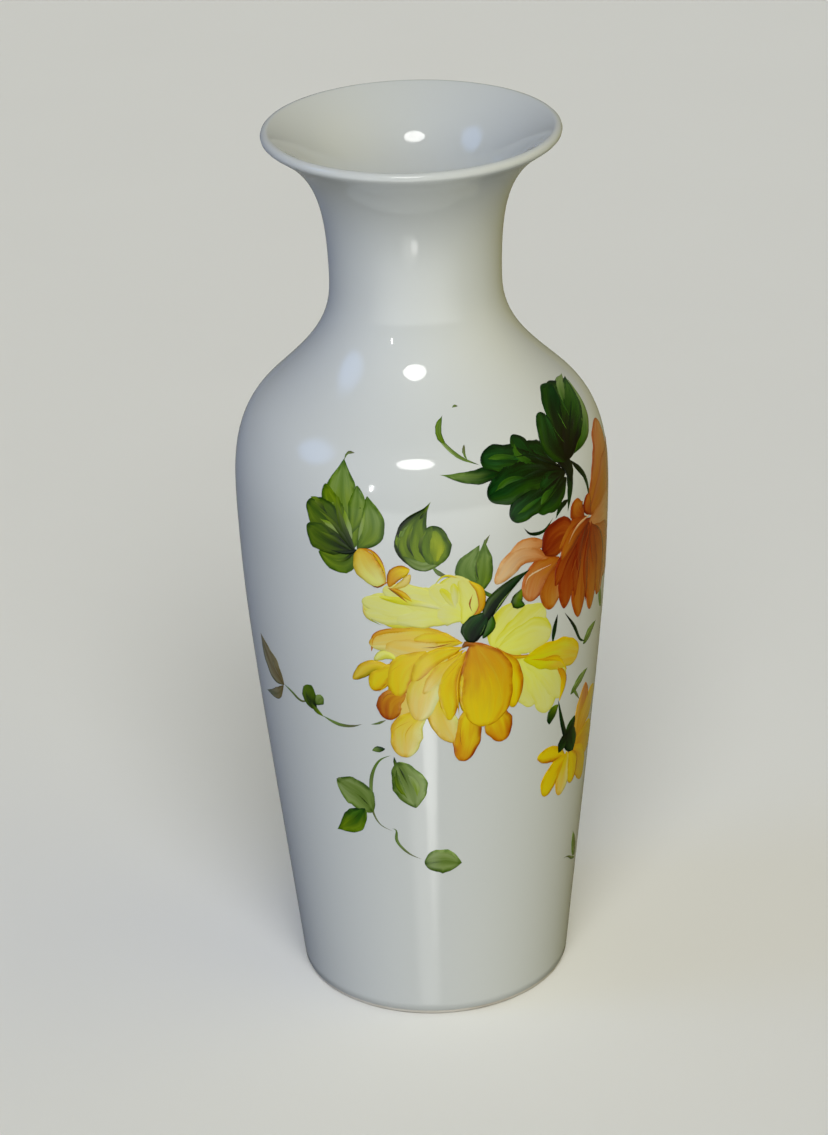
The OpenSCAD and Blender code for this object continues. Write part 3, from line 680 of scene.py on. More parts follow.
def paint_peony_back():
    p = Painting("peony_back_petals", "enamel_pale_yellow")
    petals = (
        ([(21, 149), (26.5, 138), (33, 124)], 11, 0.5),
        ([(20, 147), (26, 155), (30, 160)], 13, 0.6),
        ([(21, 147), (32, 152), (39, 156.4)], 13, 0.62),
        ([(22, 145.4), (34, 147.4), (42, 144.6)], 13, 0.6),
        ([(27, 142), (31.6, 130), (36, 120)], 10, 0.55),
        ([(30, 140), (39, 129), (42.6, 115)], 13, 0.6),
        ([(31, 140), (43, 130), (48.6, 118.4)], 11.5, 0.6),
        ([(10, 160.6), (-4, 160.2), (-14.6, 159.6)], 8, 0.6),
        ([(8, 161), (-8, 164.4), (-19, 163.6)], 10.6, 0.68),
        ([(7, 160), (-6, 166.4), (-12, 170.4)], 9.6, 0.66),
        ([(8, 158), (1, 165), (-1.4, 171)], 10, 0.6),
        ([(9, 158), (6.4, 165), (8.4, 174.6)], 9, 0.55),
        ([(11, 157), (13, 165), (11, 173.6)], 8, 0.5),
    )
    for spine, wide, full in petals:
        p.stroke(spine, wide, PALE, full, 0.6, 0.45, 0.06)
    p.stroke([(31, 139), (44, 136.5), (57, 131)], 12,
             Look("lime", "ochre", "gold", 0.7, (1.0, 1.0), 0.3, 0.25), 0.62, 0.7, 0.45, 0.07)
    p.line([(45, 132), (49.4, 125), (48, 116.5)], 3.8, FOLD, 0.5, 0.9, 0.9)
    p.line([(31, 139.3), (38.5, 136.6), (46, 134), (51, 127.5)], 2.7, FOLD, 0.6, 1.1, 0.8)
    p.line([(21, 147), (27, 141.5), (36, 139.8), (41, 141.5)], 1.6, FOLD, 0.4, 1.0, 1.4)
    soft = Look("lemon", "straw", "straw", 0.6, (1.0, 0.8), 0.3, 0.07)
    for end, wide in (((-18.6, 161), 8), ((-19.4, 165.4), 8.6), ((-12.6, 170.6), 9.4), ((-6, 167.6), 8),
                      ((1.6, 171.6), 8.6), ((8.4, 174.8), 8), ((-9, 159.4), 7), ((3, 161.6), 9)):
        middle = (0.5 * (12 + end[0]), 0.5 * (158.5 + end[1]) + 1.2)
        p.stroke([(12, 158.5), middle, end], wide, soft, 0.66, 0.8, 0.45, 0.09)
    p.stroke([(11, 157), (13, 165), (10.4, 173.6)], 7, PALE, 0.5, 0.7)
    for end, wide in (((-14, 167.6), 3.4), ((4.4, 171), 3.6), ((8.4, 172.6), 3.4)):
        middle = (0.5 * (9 + end[0]), 0.5 * (162 + end[1]) + 0.8)
        p.line([(9, 162), middle, end], wide, thin("straw", "lime", 0.7, 0.7, streak=0.3), 0.7, 1.0, 0.6)
    p.line([(13.4, 158.2), (16.6, 162), (16.4, 168), (12.8, 172.8)], 3.4, FOLD, 0.55, 0.9, 0.9)
    p.line([(14.4, 160), (13.2, 164), (14.6, 168.6)], 0.9, LINE, 0.5, 1.0, 1.0)
    p.line([(-19.2, 164.6), (-18.2, 160), (-13.6, 157.2)], 0.9, thin("ochre", "olive", 0.7, 0.6), 0.4)
    p.line([(11, 173.6), (5.6, 175), (2.4, 171.4)], 0.8, thin("ochre", "lime", 0.8, 0.7), 0.4)
    p.done()


def paint_peony_front():
    p = Painting("peony_front_petals", "enamel_golden", 14)
    p.stroke([(7, 146), (-3, 135), (-6, 121)], 19, PEACH, 0.6, 0.7)
    p.stroke([(11, 150), (-3, 152.6), (-17.8, 150)], 9.8, PEACH)
    p.stroke([(6, 147.6), (-4, 147.6), (-13, 149.6)], 11.0,
             Look("peach", "peach", "cream", 0.8, (0.95, 0.95), 0.28, 0.3), 0.5, 0.6)
    p.line([(-17.2, 147), (-15.5, 153.2), (-5, 155.8), (7, 154.2)], 2.4, FOLD, 0.35, 0.8)
    p.stroke([(10, 150.8), (3, 152.8), (-4.2, 152.2)], 5.2, GOLDEN, 0.6, 0.9)
    p.line([(-3.4, 149.3), (2.4, 149.4), (9.6, 151)], 0.9, LINE, 0.5, 1.0, 1.0)
    p.line([(-2.6, 147.2), (1, 147.6), (4.6, 147)], 2.0,
           thin("cream", "cream", 0.55, 0.55), 0.5, 0.8, 0.8)
    # the petals at the left, from the outermost in
    p.stroke([(-9.5, 140.6), (-17, 141.6), (-24, 135.6)], 5.0,
             Look("gold", "ochre", "olive", 0.45, (0.95, 1.0), 0.3, 0.55), 0.6, 0.9, 0.55)
    p.stroke([(-9, 144.5), (-12.5, 146.5), (-16.5, 144)], 3.6, PALE, 0.5)
    p.stroke([(-8, 143), (-14, 138.5), (-17.6, 132.4)], 7.0, GOLDEN, 0.62)
    p.line([(-12.4, 139), (-12.6, 135.5), (-15.8, 131.8)], 1.2, FOLD, 0.4)
    p.stroke([(-7, 132), (-11.8, 128.6), (-13.2, 121.4)], 9.0, RUST, 0.6, 0.7)
    p.line([(-7.4, 131), (-12.6, 131.4), (-15.8, 126.5)], 1.6, thin("rust", "umber"), 0.4, 0.9)
    p.stroke([(0, 148), (-7.8, 141), (-9.6, 130.6)], 9.4, GOLDEN, 0.62, 0.7)
    p.line([(-6.4, 144.4), (-11.6, 139.6), (-12, 133.6)], 1.2, FOLD, 0.5, 1.0, 1.0)
    # the bottom row
    p.stroke([(-1, 126), (-7, 118), (-8.4, 107)], 11.2, PEACH, 0.62, 0.7, 0.45)
    p.line([(-3.2, 123), (-11.4, 117.4), (-11.6, 109.8)], 1.8, FOLD, 0.5, 1.0, 1.0)
    p.line([(-4, 122), (-7.6, 116.5), (-7.8, 109.6)], 1.3, FOLD, 0.4, 1.0, 1.4)
    p.stroke([(6, 138), (3.4, 126), (7.8, 112.2)], 9.6, PEACH, 0.6, 0.7, 0.6)
    p.stroke([(18, 146), (26.8, 137), (28.2, 121.8)], 7.8, GOLDEN, 0.62)
    p.stroke([(20, 126), (22.6, 118), (25, 109.8)], 10, AMBER, 0.58, 0.7, 0.45)
    p.stroke([(13, 127), (12.6, 116), (10.6, 104.6)], 10, AMBER, 0.62, 0.7, 0.45)
    p.line([(11, 122), (9.8, 115), (11.2, 107.5)], 1.6, thin("rust", "umber", 0.9, 0.8), 0.5, 1.0, 1.4)
    # the middle
    # the first stroke here is the petal's own gold and peach, washed towards cream down one side: that
    # cream is a painted highlight, the glaze's lamp streak painted across the petals
    p.stroke([(6, 148), (0.4, 137), (-3.6, 121.4)], 11.6,
             Look("gold", "peach", "cream", 0.8, (0.9, 0.85), 0.3, 0.35), 0.6, 0.7)
    p.stroke([(11, 148.6), (1, 144.4), (-5, 136.5)], 7.4, GOLDEN, 0.6, 0.9, 0.6)
    p.stroke([(11, 147.5), (4, 139.6), (-1.8, 131.6)], 6.8, PEACH, 0.6, 0.9, 0.6)
    p.stroke([(12, 147), (6.6, 137), (6.6, 121)], 7.8, GOLDEN, 0.6, 0.8, 0.55)
    p.line([(11.6, 147.4), (4.6, 143.2), (-0.6, 141.8)], 1.4, FOLD, 0.4, 1.0, 1.4)
    p.line([(11.8, 146), (6, 138.4), (1.2, 131.4)], 1.4, FOLD, 0.4, 1.0, 1.4)
    p.line([(11.8, 145), (9.2, 136), (9.6, 122)], 1.6, FOLD, 0.4, 1.0, 1.4)
    p.stroke([(12.6, 146), (11.6, 132), (13.6, 119)], 5.0, GOLDEN, 0.6, 0.9, 0.7)
    p.stroke([(14, 149.6), (18.6, 136), (18.4, 117)], 19.5,
             Look("amber", "gold", "amber", 0.6, (1.0, 0.95), 0.34, 0.75), 0.6, 0.65, 0.45, 0.04)
    for tip_at, bulge in ((11.6, -3.4), (14.6, -1.6), (18, 0.4), (21.6, 2.2), (24.6, 3.6)):
        middle = (14 + (tip_at - 14) * 0.55 + bulge * 0.5, 136)
        p.line([(14.2, 148), middle, (tip_at, 121.5)], 1.5,
               thin("amber", "gold", 0.85, 0.95, streak=0.3), 0.5, 1.2, 1.6)
    p.line([(10.6, 148.2), (12.6, 149.6), (15.4, 148)], 2.6,
           thin("umber", "rust", 0.9, 0.8), 0.5, 0.8, 0.8)
    p.done()


def paint_peony_calyx():
    p = Painting("peony_calyx", "enamel_dark_green", 54)
    p.stroke([(17.2, 150.6), (19.6, 154.4), (20, 159)], 3.8,
             Look("fern", "fern", "leaf", 0.6, (1.1, 1.0), 0.3, 0.5), 0.5, 0.7, 0.7)
    p.stroke([(17.6, 156.6), (21.8, 164), (26.6, 168.4), (33.6, 172)], 5.6,
             Look("pine", "forest", "teal", 0.5, (1.0, 1.0), 0.3, 0.4), 0.3, 0.5, 1.2)
    p.stroke([(13.4, 149.6), (14.6, 154.8), (18.2, 159.6)], 8.6, DARK_LEAF, 0.5, 0.55)
    p.line([(20.4, 158.4), (23.4, 163.2), (28, 167.6)], 1.7,
           thin("teal", "sage", 1.0, 0.9), 0.4, 1.0, 1.4)
    p.line([(15.6, 151), (17.4, 154.4), (18, 157.6)], 1.3, thin("fern", "teal", 0.9, 0.9), 0.4)
    p.stroke([(31.4, 159.2), (28.6, 161), (30.2, 165.6)], 4.4,
             Look("fern", "olive", "bark", 0.6), 0.5, 0.7, 0.9)
    p.done()


def paint_red_flower_outer():
    p = Painting("red_flower_outer_petals", "enamel_peach", 8)
    p.stroke([(60, 184), (72, 193), (82, 205)], 17, CORAL, 0.6, 0.8, 0.5, 0.06)
    p.stroke([(60, 181), (78, 186), (95, 189)], 20, CORAL, 0.62, 0.8, 0.5, 0.06)
    p.stroke([(60, 178), (78, 174), (96, 170)], 18, BLUSH, 0.62, 0.8, 0.5, 0.06)
    p.stroke([(60, 176), (75, 162), (86, 151)], 17, CORAL, 0.6, 0.8, 0.5, 0.06)
    p.stroke([(60, 175), (68, 160), (73, 147)], 13, CORAL, 0.6, 0.8, 0.5, 0.06)
    p.stroke([(40, 178.6), (31, 180), (25.5, 173.4)], 6.6, BLUSH)
    p.stroke([(41, 173), (30, 177.6), (21.4, 169.6)], 7.6, BLUSH, 0.6, 0.9)
    p.stroke([(45, 172), (36.4, 168.8), (33, 160)], 10.5, CORAL, 0.62)
    p.line([(43.6, 171), (32.6, 169), (31.2, 163.6)], 2.4, thin("blush", "blush", 0.6, 0.7))
    p.stroke([(50, 171), (42.4, 163), (41.2, 154.2)], 9.8,
             Look("brick", "clay", "coral", 0.7, (0.95, 0.85), 0.3, 0.4))
    p.done()


def paint_red_flower_inner():
    p = Painting("red_flower_inner_petals", "enamel_red_brown", 22)
    p.stroke([(57.6, 181), (53.6, 185.5), (53.4, 189.4)], 7.4, RED_FADING)
    p.stroke([(62, 180), (59.6, 185), (61.4, 188)], 5.4, RED_FADING)
    p.stroke([(52, 176.4), (45, 179.4), (38, 176)], 13,
             Look("brick", "wine", "clay", 0.5, (1.0, 1.1), 0.3, 0.4), 0.55, 0.6)
    p.stroke([(60, 180.4), (51, 180.6), (44.4, 174.4)], 5.2, RED_FADING, 0.6, 0.9, 0.7)
    p.stroke([(62, 177), (70, 163), (69.5, 147)], 9.4, RED_FADING, 0.6, 0.8, 0.6)
    p.stroke([(62, 178), (63.5, 162), (63.5, 144.6)], 9.4, RED_FADING, 0.62, 0.8, 0.55)
    p.stroke([(61, 178), (49.4, 170.6), (43, 162)], 8.4, RED, 0.6, 0.9, 0.7)
    p.stroke([(60, 178), (50, 164.4), (47.6, 152)], 9.6, RED, 0.6, 0.9, 0.6)
    p.stroke([(61, 178), (56, 160), (55.6, 145.4)], 9.8, RED_FADING, 0.6, 0.8, 0.55)
    p.stroke([(60.6, 177), (54.4, 168), (52.4, 152.6)], 6.4, RED, 0.5, 0.9, 0.9)
    p.stroke([(62, 179), (52, 177.4), (45.4, 170.4)], 6.6, RED_FADING, 0.6, 0.9, 0.7)
    p.stroke([(61.4, 178), (58.6, 163), (60, 149)], 4.4, RED, 0.5, 1.0, 1.2)
    p.stroke([(59, 178.4), (54.6, 172), (54.8, 158)], 4.6,
             Look("wine", "wine", load=(1.15, 0.95), rim=0.2), 0.4, 0.8, 1.2)
    for tip_at, low in ((48.4, 159), (51.4, 153), (58.6, 150), (62.6, 151), (66, 155)):
        middle = (0.45 * 60.5 + 0.55 * tip_at - 1, 0.5 * (176 + low))
        p.line([(60.5, 176), middle, (tip_at, low)], 1.3, thin("wine", "brick", 0.9, 0.8), 0.45, 1.2, 1.6)
    p.line([(61.5, 180.6), (53, 179.4), (47.4, 173.4)], 1.5,
           thin("blush", "coral", 0.8, 0.9), 0.5, 1.0, 1.4)
    p.done()


def paint_red_flower_stems():
    p = Painting("red_flower_stems", "enamel_dark_green", 4)
    p.line([(52.6, 204), (51.4, 196), (49, 186.5)], 3.8, DARK_TWIG, 0.3, 0.7, 1.0)
    p.line([(53, 203), (59.6, 194), (61.6, 182.4)], 2.2, DARK_TWIG, 0.3, 0.9)
    p.line([(49.8, 190.6), (46, 189.4), (43.4, 186)], 2.6, DARK_TWIG, 0.4, 0.9)
    p.line([(31, 187.2), (33.6, 184.2), (38.4, 183.6), (42.6, 187)], 1.4, DARK_TWIG, 0.5, 1.2)
    p.line([(44.8, 151.2), (43.6, 146.4), (43, 140.6)], 2.2, DARK_TWIG, 0.5, 0.9, 0.9)
    p.line([(48, 150.4), (53.8, 142.4), (58, 135.8), (63, 133)], 1.5, DARK_TWIG)
    p.done()


def paint_dark_leaves():
    p = Painting("dark_leaf_cluster", "enamel_dark_green", 10)
    lobes = (
        ([(48, 204), (41, 209.4), (37, 211.6)], 6.4, 0.6),
        ([(47, 202), (37, 207.5), (33.4, 215)], 8.6, 0.72),
        ([(47, 201), (33, 208.6), (19.6, 210.6)], 9.0, 0.7),
        ([(26, 206.6), (16, 206.4), (5.4, 208.2)], 4.8, 0.35),
        ([(50, 198), (43, 194.6), (36, 191.6)], 11.0, 0.6),
        ([(48, 199), (36, 195.6), (26.8, 191.4)], 10.4, 0.72),
        ([(49, 200), (34, 203), (20, 200)], 11.6, 0.72),
        ([(50, 199.6), (45, 200), (38, 198)], 8.0, 0.5),
    )
    for spine, wide, full in lobes:
        pointed = spine[-1][0] < 10
        look = Look("forest", "sage", "fern", 0.5, (1.1, 0.9)) if pointed else DARK_LEAF
        p.stroke(spine, wide, look, full, 0.8, 1.5 if pointed else 0.5, 0.07)
    for spine, wide in (
        ([(40, 205), (33, 210), (33.4, 213.4)], 3.0), ([(36, 207.6), (28, 210.4), (21.6, 210.8)], 2.2),
        ([(36, 202.4), (28, 203.6), (22, 200.8)], 2.6), ([(41, 196.4), (34, 194), (28.6, 192)], 2.2),
        ([(45, 196), (40.6, 195.6), (37.6, 192.6)], 3.2),
    ):
        p.stroke(spine, wide,
                 Look("forest", "fern", "forest", 0.5, (0.9, 0.85), 0.35, 0.0), 0.65, 1.0, 0.9)
    for spine in (
        [(50, 201), (38, 203.6), (24, 201.2)], [(50, 201), (38, 208.6), (24, 209.6)],
        [(49, 200), (38, 196.4), (29.6, 193)], [(50, 200), (43.6, 196), (39, 192.6)],
        [(49, 202), (40, 207.6), (34, 212)],
    ):
        p.line(spine, 1.3, thin("black green", "forest"), 0.3, 0.9, 1.8)
    p.line([(46.4, 206.5), (51.4, 202), (52, 195.6)], 5.4, thin("black green", "pine"), 0.5, 0.8, 0.8)
    p.done()


def paint_upright_leaf():
    p = Painting("upright_leaf", "enamel_dark_green", 30)
    p.stroke([(56, 203.5), (68, 207.6), (84, 218.2)], 5.6,
             Look("fern", "sage", "olive", 0.6, (1.0, 0.8)), 0.5, 0.9, 1.4)
    p.stroke([(51, 203), (60.5, 212.4), (84.6, 219)], 14.4,
             Look("black green", "fern", "pine", 0.5, (1.0, 0.9)), 0.42, 0.7, 1.3)
    p.stroke([(51.5, 202.6), (48, 209.4), (52, 217.4)], 9.6, DARK_LEAF, 0.55, 0.7)
    p.stroke([(50, 207), (58, 216.6), (70, 221.2)], 7.8, DARK_LEAF, 0.6, 0.8, 0.9)
    p.stroke([(62, 214.6), (72, 218.8), (84.6, 220)], 3.4,
             Look("fern", "sage", "mist", 0.6, (0.9, 0.8)), 0.5, 1.0, 1.4)
    p.line([(52, 203.6), (61, 211.4), (79, 217.4)], 1.8, thin("black green", "forest"), 0.3, 0.9, 1.6)
    for start, end in (((54, 207), (52, 214.6)), ((57.6, 209.6), (60, 217.4)), ((63, 212), (68, 219))):
        middle = ((start[0] + end[0]) / 2 - 0.6, (start[1] + end[1]) / 2)
        p.line([start, middle, end], 1.2, thin("fern", "forest", 0.8, 0.8), 0.5, 1.1, 1.4)
    p.done()


def paint_upper_tendril():
    p = Painting("upper_tendril", "enamel_leaf_green")
    p.stroke([(19.4, 209.4), (12, 213), (6.6, 218.6), (9.8, 223.4)], 1.4, GREY_LEAF, 0.5, 1.0, 1.2)
    p.stroke([(9.4, 214.8), (6.7, 219), (9.2, 222.8)], 2.8, PALE_LEAF, 0.55, 1.1, 1.1)
    p.line([(15.4, 211.4), (14.6, 213.2), (15.4, 215.4)], 1.3, TWIG, 0.6, 1.0, 0.8)
    p.line([(14, 224.4), (15.2, 224.8), (16.8, 224.6)], 0.7, TWIG, 0.5, 1.0, 1.0)
    p.done()


def paint_side_leaves():
    p = Painting("side_leaves", "enamel_grey_green", 2)
    leaf(p, (60, 133), (70.6, 137), 4.8, GREY_LEAF, 0.6)
    leaf(p, (54.2, 116.4), (66, 121.4), 4.4, GREY_LEAF, 0.8)
    p.line([(55, 118.6), (57.6, 115.6), (61.4, 111)], 1.3, TWIG, 0.4, 0.9)
    leaf(p, (77, 139), (71.6, 151), 4.2, GREY_LEAF, 0.6)
    leaf(p, (75, 43), (68, 56), 5.6, GREY_LEAF, 0.8)
    p.line([(76.4, 41), (70, 44), (64, 47.4), (60, 48.4)], 1.3, TWIG, 0.3, 0.9, 1.4)
    p.done()


def paint_left_vine():
    p = Painting("left_vine_stem", "enamel_grey_green")
    p.line([(-54, 124), (-50.4, 122.8), (-46, 120.8), (-42.4, 122)], 1.3, TWIG, 0.5, 0.8, 0.8)
    p.line([(-37, 118.2), (-30.6, 116.5), (-26, 116.9), (-21.8, 118.5)], 1.5, TWIG, 0.4, 0.9, 1.0)
    p.line([(-19.2, 118.8), (-16.6, 119.6), (-13.8, 121.2)], 1.0, TWIG, 0.6, 1.0, 1.0)
    p.done()
    p = Painting("left_vine_leaves", "enamel_grey_green", 3)
    faded = Look("smoke", "smoke", "slate", 0.7, (1.25, 0.9), 0.4, 0.3, 0.2)
    p.stroke([(-54, 123.6), (-60, 128), (-66.6, 138)], 10.4, faded, 0.42, 0.8, 1.1)
    p.stroke([(-55, 125.6), (-58.4, 129.6), (-58, 131.4)], 4.4, faded, 0.6, 0.8, 0.6)
    p.stroke([(-54.4, 123.4), (-59.6, 118), (-69, 115)], 4.2,
             Look("smoke", "slate", "smoke", 0.6, (1.3, 1.0), 0.4, 0.3), 0.42, 1.0, 1.4)
    p.stroke([(-39.2, 119.6), (-41.8, 123.4), (-40.2, 128.8)], 6.8,
             Look("bark", "moss", "olive", 0.6), 0.5, 0.7, 0.6)
    p.stroke([(-39, 121.6), (-37, 124.6), (-35.6, 125.4)], 4.2, GREY_LEAF, 0.6, 0.8, 0.6)
    p.line([(-42.6, 124.6), (-39.8, 120), (-36.4, 117.8)], 2.4, VEIN, 0.6, 0.9, 0.9)
    p.line([(-41.4, 122), (-42.6, 125.4), (-41.6, 128)], 1.3, VEIN)
    p.done()


def paint_lower_vine():
    p = Painting("lower_vine_stem", "enamel_grey_green")
    p.line([(-12.8, 107.6), (-17, 105), (-20, 99), (-21, 90), (-20.6, 83), (-18.4, 79), (-13.6, 76.6)], 1.5,
           TWIG, 0.4, 0.9, 1.0)
    p.line([(-14.2, 78), (-12.9, 77.4), (-12.8, 73), (-9, 68.4), (-3, 65.4)], 1.4, TWIG, 0.3, 0.9, 1.6)
    p.stroke([(-12, 107), (-11.6, 104), (-10.2, 101)], 1.6,
             Look("forest", "olive", rim=0.1), 0.5, 0.9, 1.0)
    p.done()
    p = Painting("lower_vine_leaves", "enamel_leaf_green", 4)
    p.stroke([(-14.8, 109.8), (-17, 109.4), (-19.4, 108.6)], 2.6, Look("forest", "sage"), 0.5, 0.7, 0.9)
    p.stroke([(-10.8, 105), (-7.6, 96.6), (-5.4, 86.8)], 12.8, GREY_LEAF, 0.52, 0.6, 0.8)
    p.stroke([(-11.6, 103), (-11, 96), (-7.6, 89.6)], 3.6, GREEN_LEAF, 0.5, 0.9, 1.1)
    p.line([(-8.2, 101), (-5, 95.6), (-4.8, 90.6)], 3.2, GLINT, 0.5, 1.0, 1.0)
    p.line([(-11, 104), (-8.4, 98), (-6.8, 92)], 1.0, VEIN, 0.3, 1.0, 1.6)
    p.stroke([(-21, 83.6), (-25.8, 89.6), (-34, 93.8)], 12.4, GREY_LEAF, 0.52, 0.6, 0.7, right=12)
    p.line([(-29.6, 94.4), (-32.4, 94.6), (-34.4, 93.8)], 1.2, TWIG, 0.5, 0.9)
    p.line([(-21.4, 85.6), (-26, 89.8), (-30, 91.8)], 1.2, VEIN, 0.3, 1.0, 1.6)
    p.stroke([(-23.6, 85), (-28.2, 79), (-36.4, 73)], 8.8,
             Look("fern", "olive", "leaf", 0.7, (1.0, 0.9), 0.3, 0.5, 0.2), 0.45, 0.8, 1.3)
    p.line([(-25, 83.6), (-29.4, 78.6), (-34, 74.4)], 1.2, VEIN, 0.3, 1.0, 1.6)
    p.stroke([(-3.2, 64.4), (3, 65), (10.4, 63.6)], 10.2, GREY_LEAF, 0.48, 0.55, 0.95)
    p.line([(-2.4, 64.2), (3, 64.8), (8.4, 63.6)], 1.0, VEIN, 0.3, 1.0, 1.8)
    p.done()


def paint_blossom():
    p = Painting("blossom_petals", "enamel_golden", 6)
    p.stroke([(60, 97), (64, 106), (65, 116)], 11, Look("amber", "coral", "peach", 0.6), 0.55, 0.7, 0.6)
    p.stroke([(60, 96), (69, 104), (78, 108)], 12, Look("amber", "peach", "ochre", 0.6), 0.6, 0.7)
    p.stroke([(58, 95), (70, 92), (82, 88)], 13, Look("amber", "ochre", "gold", 0.6), 0.6, 0.7)
    p.stroke([(56, 94), (66, 86), (72, 76)], 11, Look("amber", "ochre", "gold", 0.6), 0.6, 0.7)
    p.stroke([(54, 93), (47, 96.6), (39, 98)], 6.6, GOLDEN)
    p.stroke([(55, 93), (48, 89), (43.4, 81)], 9.4, GOLDEN, 0.62, 0.7)
    p.stroke([(55, 94), (54, 85), (52.4, 77.6)], 9.0, PEACH, 0.62, 0.7)
    p.stroke([(57, 94), (60, 86), (60.6, 79)], 9.0, GOLDEN, 0.62, 0.7)
    p.line([(54, 92), (51, 87), (50, 81.6)], 1.3, FOLD, 0.5, 1.0, 1.4)
    p.line([(57, 92), (57, 86), (56.4, 81)], 1.3, FOLD, 0.5, 1.0, 1.4)
    p.done()
    p = Painting("blossom_calyx", "enamel_dark_green", 18)
    p.line([(54.6, 98), (50.6, 107), (47.4, 117.4)], 2.4, DARK_TWIG, 0.3, 0.8, 0.9)
    p.stroke([(47.6, 115.6), (44.8, 113.4), (43.6, 109.4)], 5.0,
             Look("olive", "forest", "moss", 0.6), 0.5, 0.7, 0.8)
    p.stroke([(55, 101), (51.8, 98.6), (49.6, 95.6)], 5.6, DARK_LEAF, 0.5, 0.7, 0.7)
    p.stroke([(54, 104), (57, 97.6), (59.4, 92.4)], 8.4, DARK_LEAF, 0.5, 0.6, 0.7)
    p.stroke([(53, 101), (56.4, 103.4), (58.6, 106.4)], 5.4, DARK_LEAF, 0.5, 0.7, 0.8)
    p.done()


def paint_rear_sprig():
    p = Painting("rear_sprig", "enamel_leaf_green")
    p.line([(95, 171), (103, 174.6), (112, 171), (118.4, 162.6)], 1.4, TWIG, 0.3, 0.9, 1.4)
    p.line([(92, 150), (99, 144), (105, 137), (112, 136)], 1.3, TWIG, 0.3, 0.9, 1.4)
    leaf(p, (103.6, 174), (110, 188), 7.4, GREEN_LEAF, 1.4)
    leaf(p, (108.4, 171.4), (119.4, 161.6), 7.0, GREY_LEAF, -1.0)
    leaf(p, (117.4, 163.4), (130, 157.4), 6.6, PALE_LEAF, 1.2)
    leaf(p, (99.4, 142), (101, 127), 6.4, GREEN_LEAF, -1.0)
    leaf(p, (110, 136), (121.4, 141.4), 6.0, GREY_LEAF, 1.0)
    p.done()


MOTIFS = (
    paint_three_lobed_leaf, paint_bud_petals, paint_green_bud, paint_small_pointed_leaf,
    paint_peony_back, paint_peony_front, paint_peony_calyx,
    paint_red_flower_outer, paint_red_flower_inner, paint_red_flower_stems,
    paint_dark_leaves, paint_upright_leaf, paint_upper_tendril, paint_side_leaves,
    paint_left_vine, paint_lower_vine, paint_blossom, paint_rear_sprig,
)


# ---- Camera, table and light ----

def direction(azimuth, elevation):
    """The unit vector towards an azimuth and elevation in degrees."""
    a, e = math.radians(azimuth), math.radians(elevation)
    return (math.sin(a) * math.cos(e), -math.cos(a) * math.cos(e), math.sin(e))


def make_camera():
    forward = Vector((
        math.sin(CAMERA_YAW) * math.cos(CAMERA_PITCH),
        math.cos(CAMERA_YAW) * math.cos(CAMERA_PITCH),
        -math.sin(CAMERA_PITCH),
    ))
    level = Vector((math.cos(CAMERA_YAW), -math.sin(CAMERA_YAW), 0))
    upright = level.cross(forward)
    right = level * math.cos(CAMERA_ROLL) + upright * math.sin(CAMERA_ROLL)
    up = upright * math.cos(CAMERA_ROLL) - level * math.sin(CAMERA_ROLL)
    data = bpy.data.cameras.new("camera")
    data.lens = CAMERA_LENS_MM
    data.sensor_width = CAMERA_SENSOR_MM
    data.clip_end = 50
    camera = bpy.data.objects.new("camera", data)
    turn = Matrix((right, up, -forward)).transposed().to_4x4()
    camera.matrix_world = Matrix.Translation((0, -CAMERA_BACK, CAMERA_UP)) @ turn
    bpy.context.scene.collection.objects.link(camera)
    bpy.context.scene.camera = camera


def highlight_lamp(name, azimuth, elevation, distance, width, height, power, colour, shape):
    """A lamp that only shows as a highlight, aimed at the shoulder. Azimuth 0 is the front, 90 the
    vase's right."""
    data = bpy.data.lights.new(name, "AREA")
    data.shape, data.size, data.size_y = shape, width, height
    data.energy, data.color = power, colour
    lamp = bpy.data.objects.new(name, data)
    way = Vector(direction(azimuth, elevation))
    lamp.location = Vector((0, 0, SHOULDER)) + way * distance
    lamp.rotation_euler = way.to_track_quat("Z", "Y").to_euler()
    lamp.visible_diffuse = False
    bpy.context.scene.collection.objects.link(lamp)


def soft_sun(name, strength, width, tilt, turn, colour):
    """A broad light that shades the surfaces but shows in no reflection. tilt is from overhead."""
    data = bpy.data.lights.new(name, "SUN")
    data.energy, data.angle, data.color = strength, math.radians(width), colour
    sun = bpy.data.objects.new(name, data)
    sun.rotation_euler = (math.radians(tilt), 0, math.radians(turn))
    sun.visible_glossy = False
    bpy.context.scene.collection.objects.link(sun)


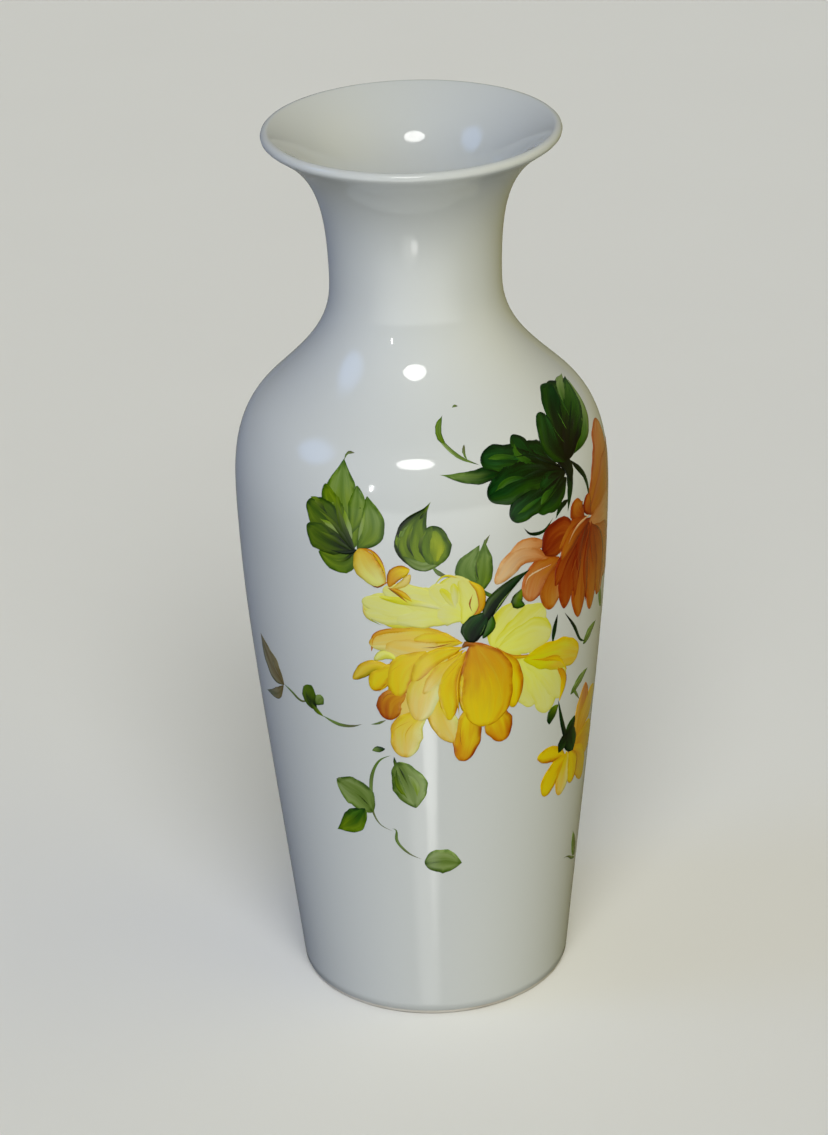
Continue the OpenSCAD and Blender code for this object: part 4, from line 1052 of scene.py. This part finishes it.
def make_table():
    mesh = bpy.data.meshes.new("table")
    corners = [(x * TABLE_HALF, y * TABLE_HALF, 0) for x, y in ((-1, -1), (1, -1), (1, 1), (-1, 1))]
    mesh.from_pydata(corners, [], [(0, 1, 2, 3)])
    table = bpy.data.objects.new("table", mesh)
    material, t = new_material("table")
    place = t.add("TexCoord").outputs["Object"]
    colour = t.mix(t.noise(place, 9.0, 3.0), *TABLE_TONES)
    t.surface(Base_Color=colour, Roughness=0.7, Specular_IOR_Level=0.0)
    mesh.materials.append(material)
    # the world's lower half stands for the light and the reflection that the table would give
    table.visible_diffuse = False
    table.visible_glossy = False
    table.visible_shadow = False
    bpy.context.scene.collection.objects.link(table)


def soft_patch(t, way, azimuth, elevation, inner, outer):
    """1 within inner degrees of a direction, falling softly to 0 at outer degrees."""
    centre = direction(azimuth, elevation)
    near = t.add("VectorMath", {0: way, 1: centre}, operation="DOT_PRODUCT").outputs["Value"]
    return t.remap(near, math.cos(math.radians(outer)), math.cos(math.radians(inner)))


def make_world():
    """Dim surroundings with a few soft glows, and the brightness of a lit table below."""
    world = bpy.data.worlds.new("studio")
    bpy.context.scene.world = world
    t = Tree(world)
    way = t.add("TexCoord").outputs["Generated"]
    across, depth, rise = t.add("SeparateXYZ", {0: way}).outputs
    colour = t.mix(t.remap(across, -0.5, 0.5), WORLD_LEFT, WORLD_RIGHT)
    colour = t.mix(t.remap(t.math("ABSOLUTE", depth), 0.3, 1.0), colour, WORLD_FRONT)
    colour = t.mix(t.remap(rise, 0.2, 0.95), colour, WORLD_TOP)
    below = t.mix(t.remap(across, -0.5, 0.5), BELOW_LEFT, BELOW_RIGHT)
    below = t.mix(t.remap(depth, -0.3, -0.95), below, BELOW_FRONT)
    below = t.mix(t.remap(rise, -0.33, -0.78), below, STRAIGHT_DOWN)
    colour = t.mix(t.remap(rise, -0.02, -0.12), colour, below)
    for azimuth, elevation, inner, outer, tone in WORLD_PATCHES:
        glow = t.mix(soft_patch(t, way, azimuth, elevation, inner, outer), BLACK, tone)
        colour = t.mix(1.0, colour, glow, "ADD")
    back = t.add("Background", {"Color": colour, "Strength": 1.0})
    t.add("OutputWorld", {"Surface": back.outputs[0]})


make_clear_glaze()
make_porcelain()
make_base_glaze()
for paint_motif in MOTIFS:
    paint_motif()
make_camera()
make_table()
make_world()
for lamp in HIGHLIGHT_LAMPS:
    highlight_lamp(*lamp)
for sun in SOFT_SUNS:
    soft_sun(*sun)
bpy.context.scene.view_settings.view_transform = "Standard"
bpy.context.scene.cycles.caustics_reflective = False
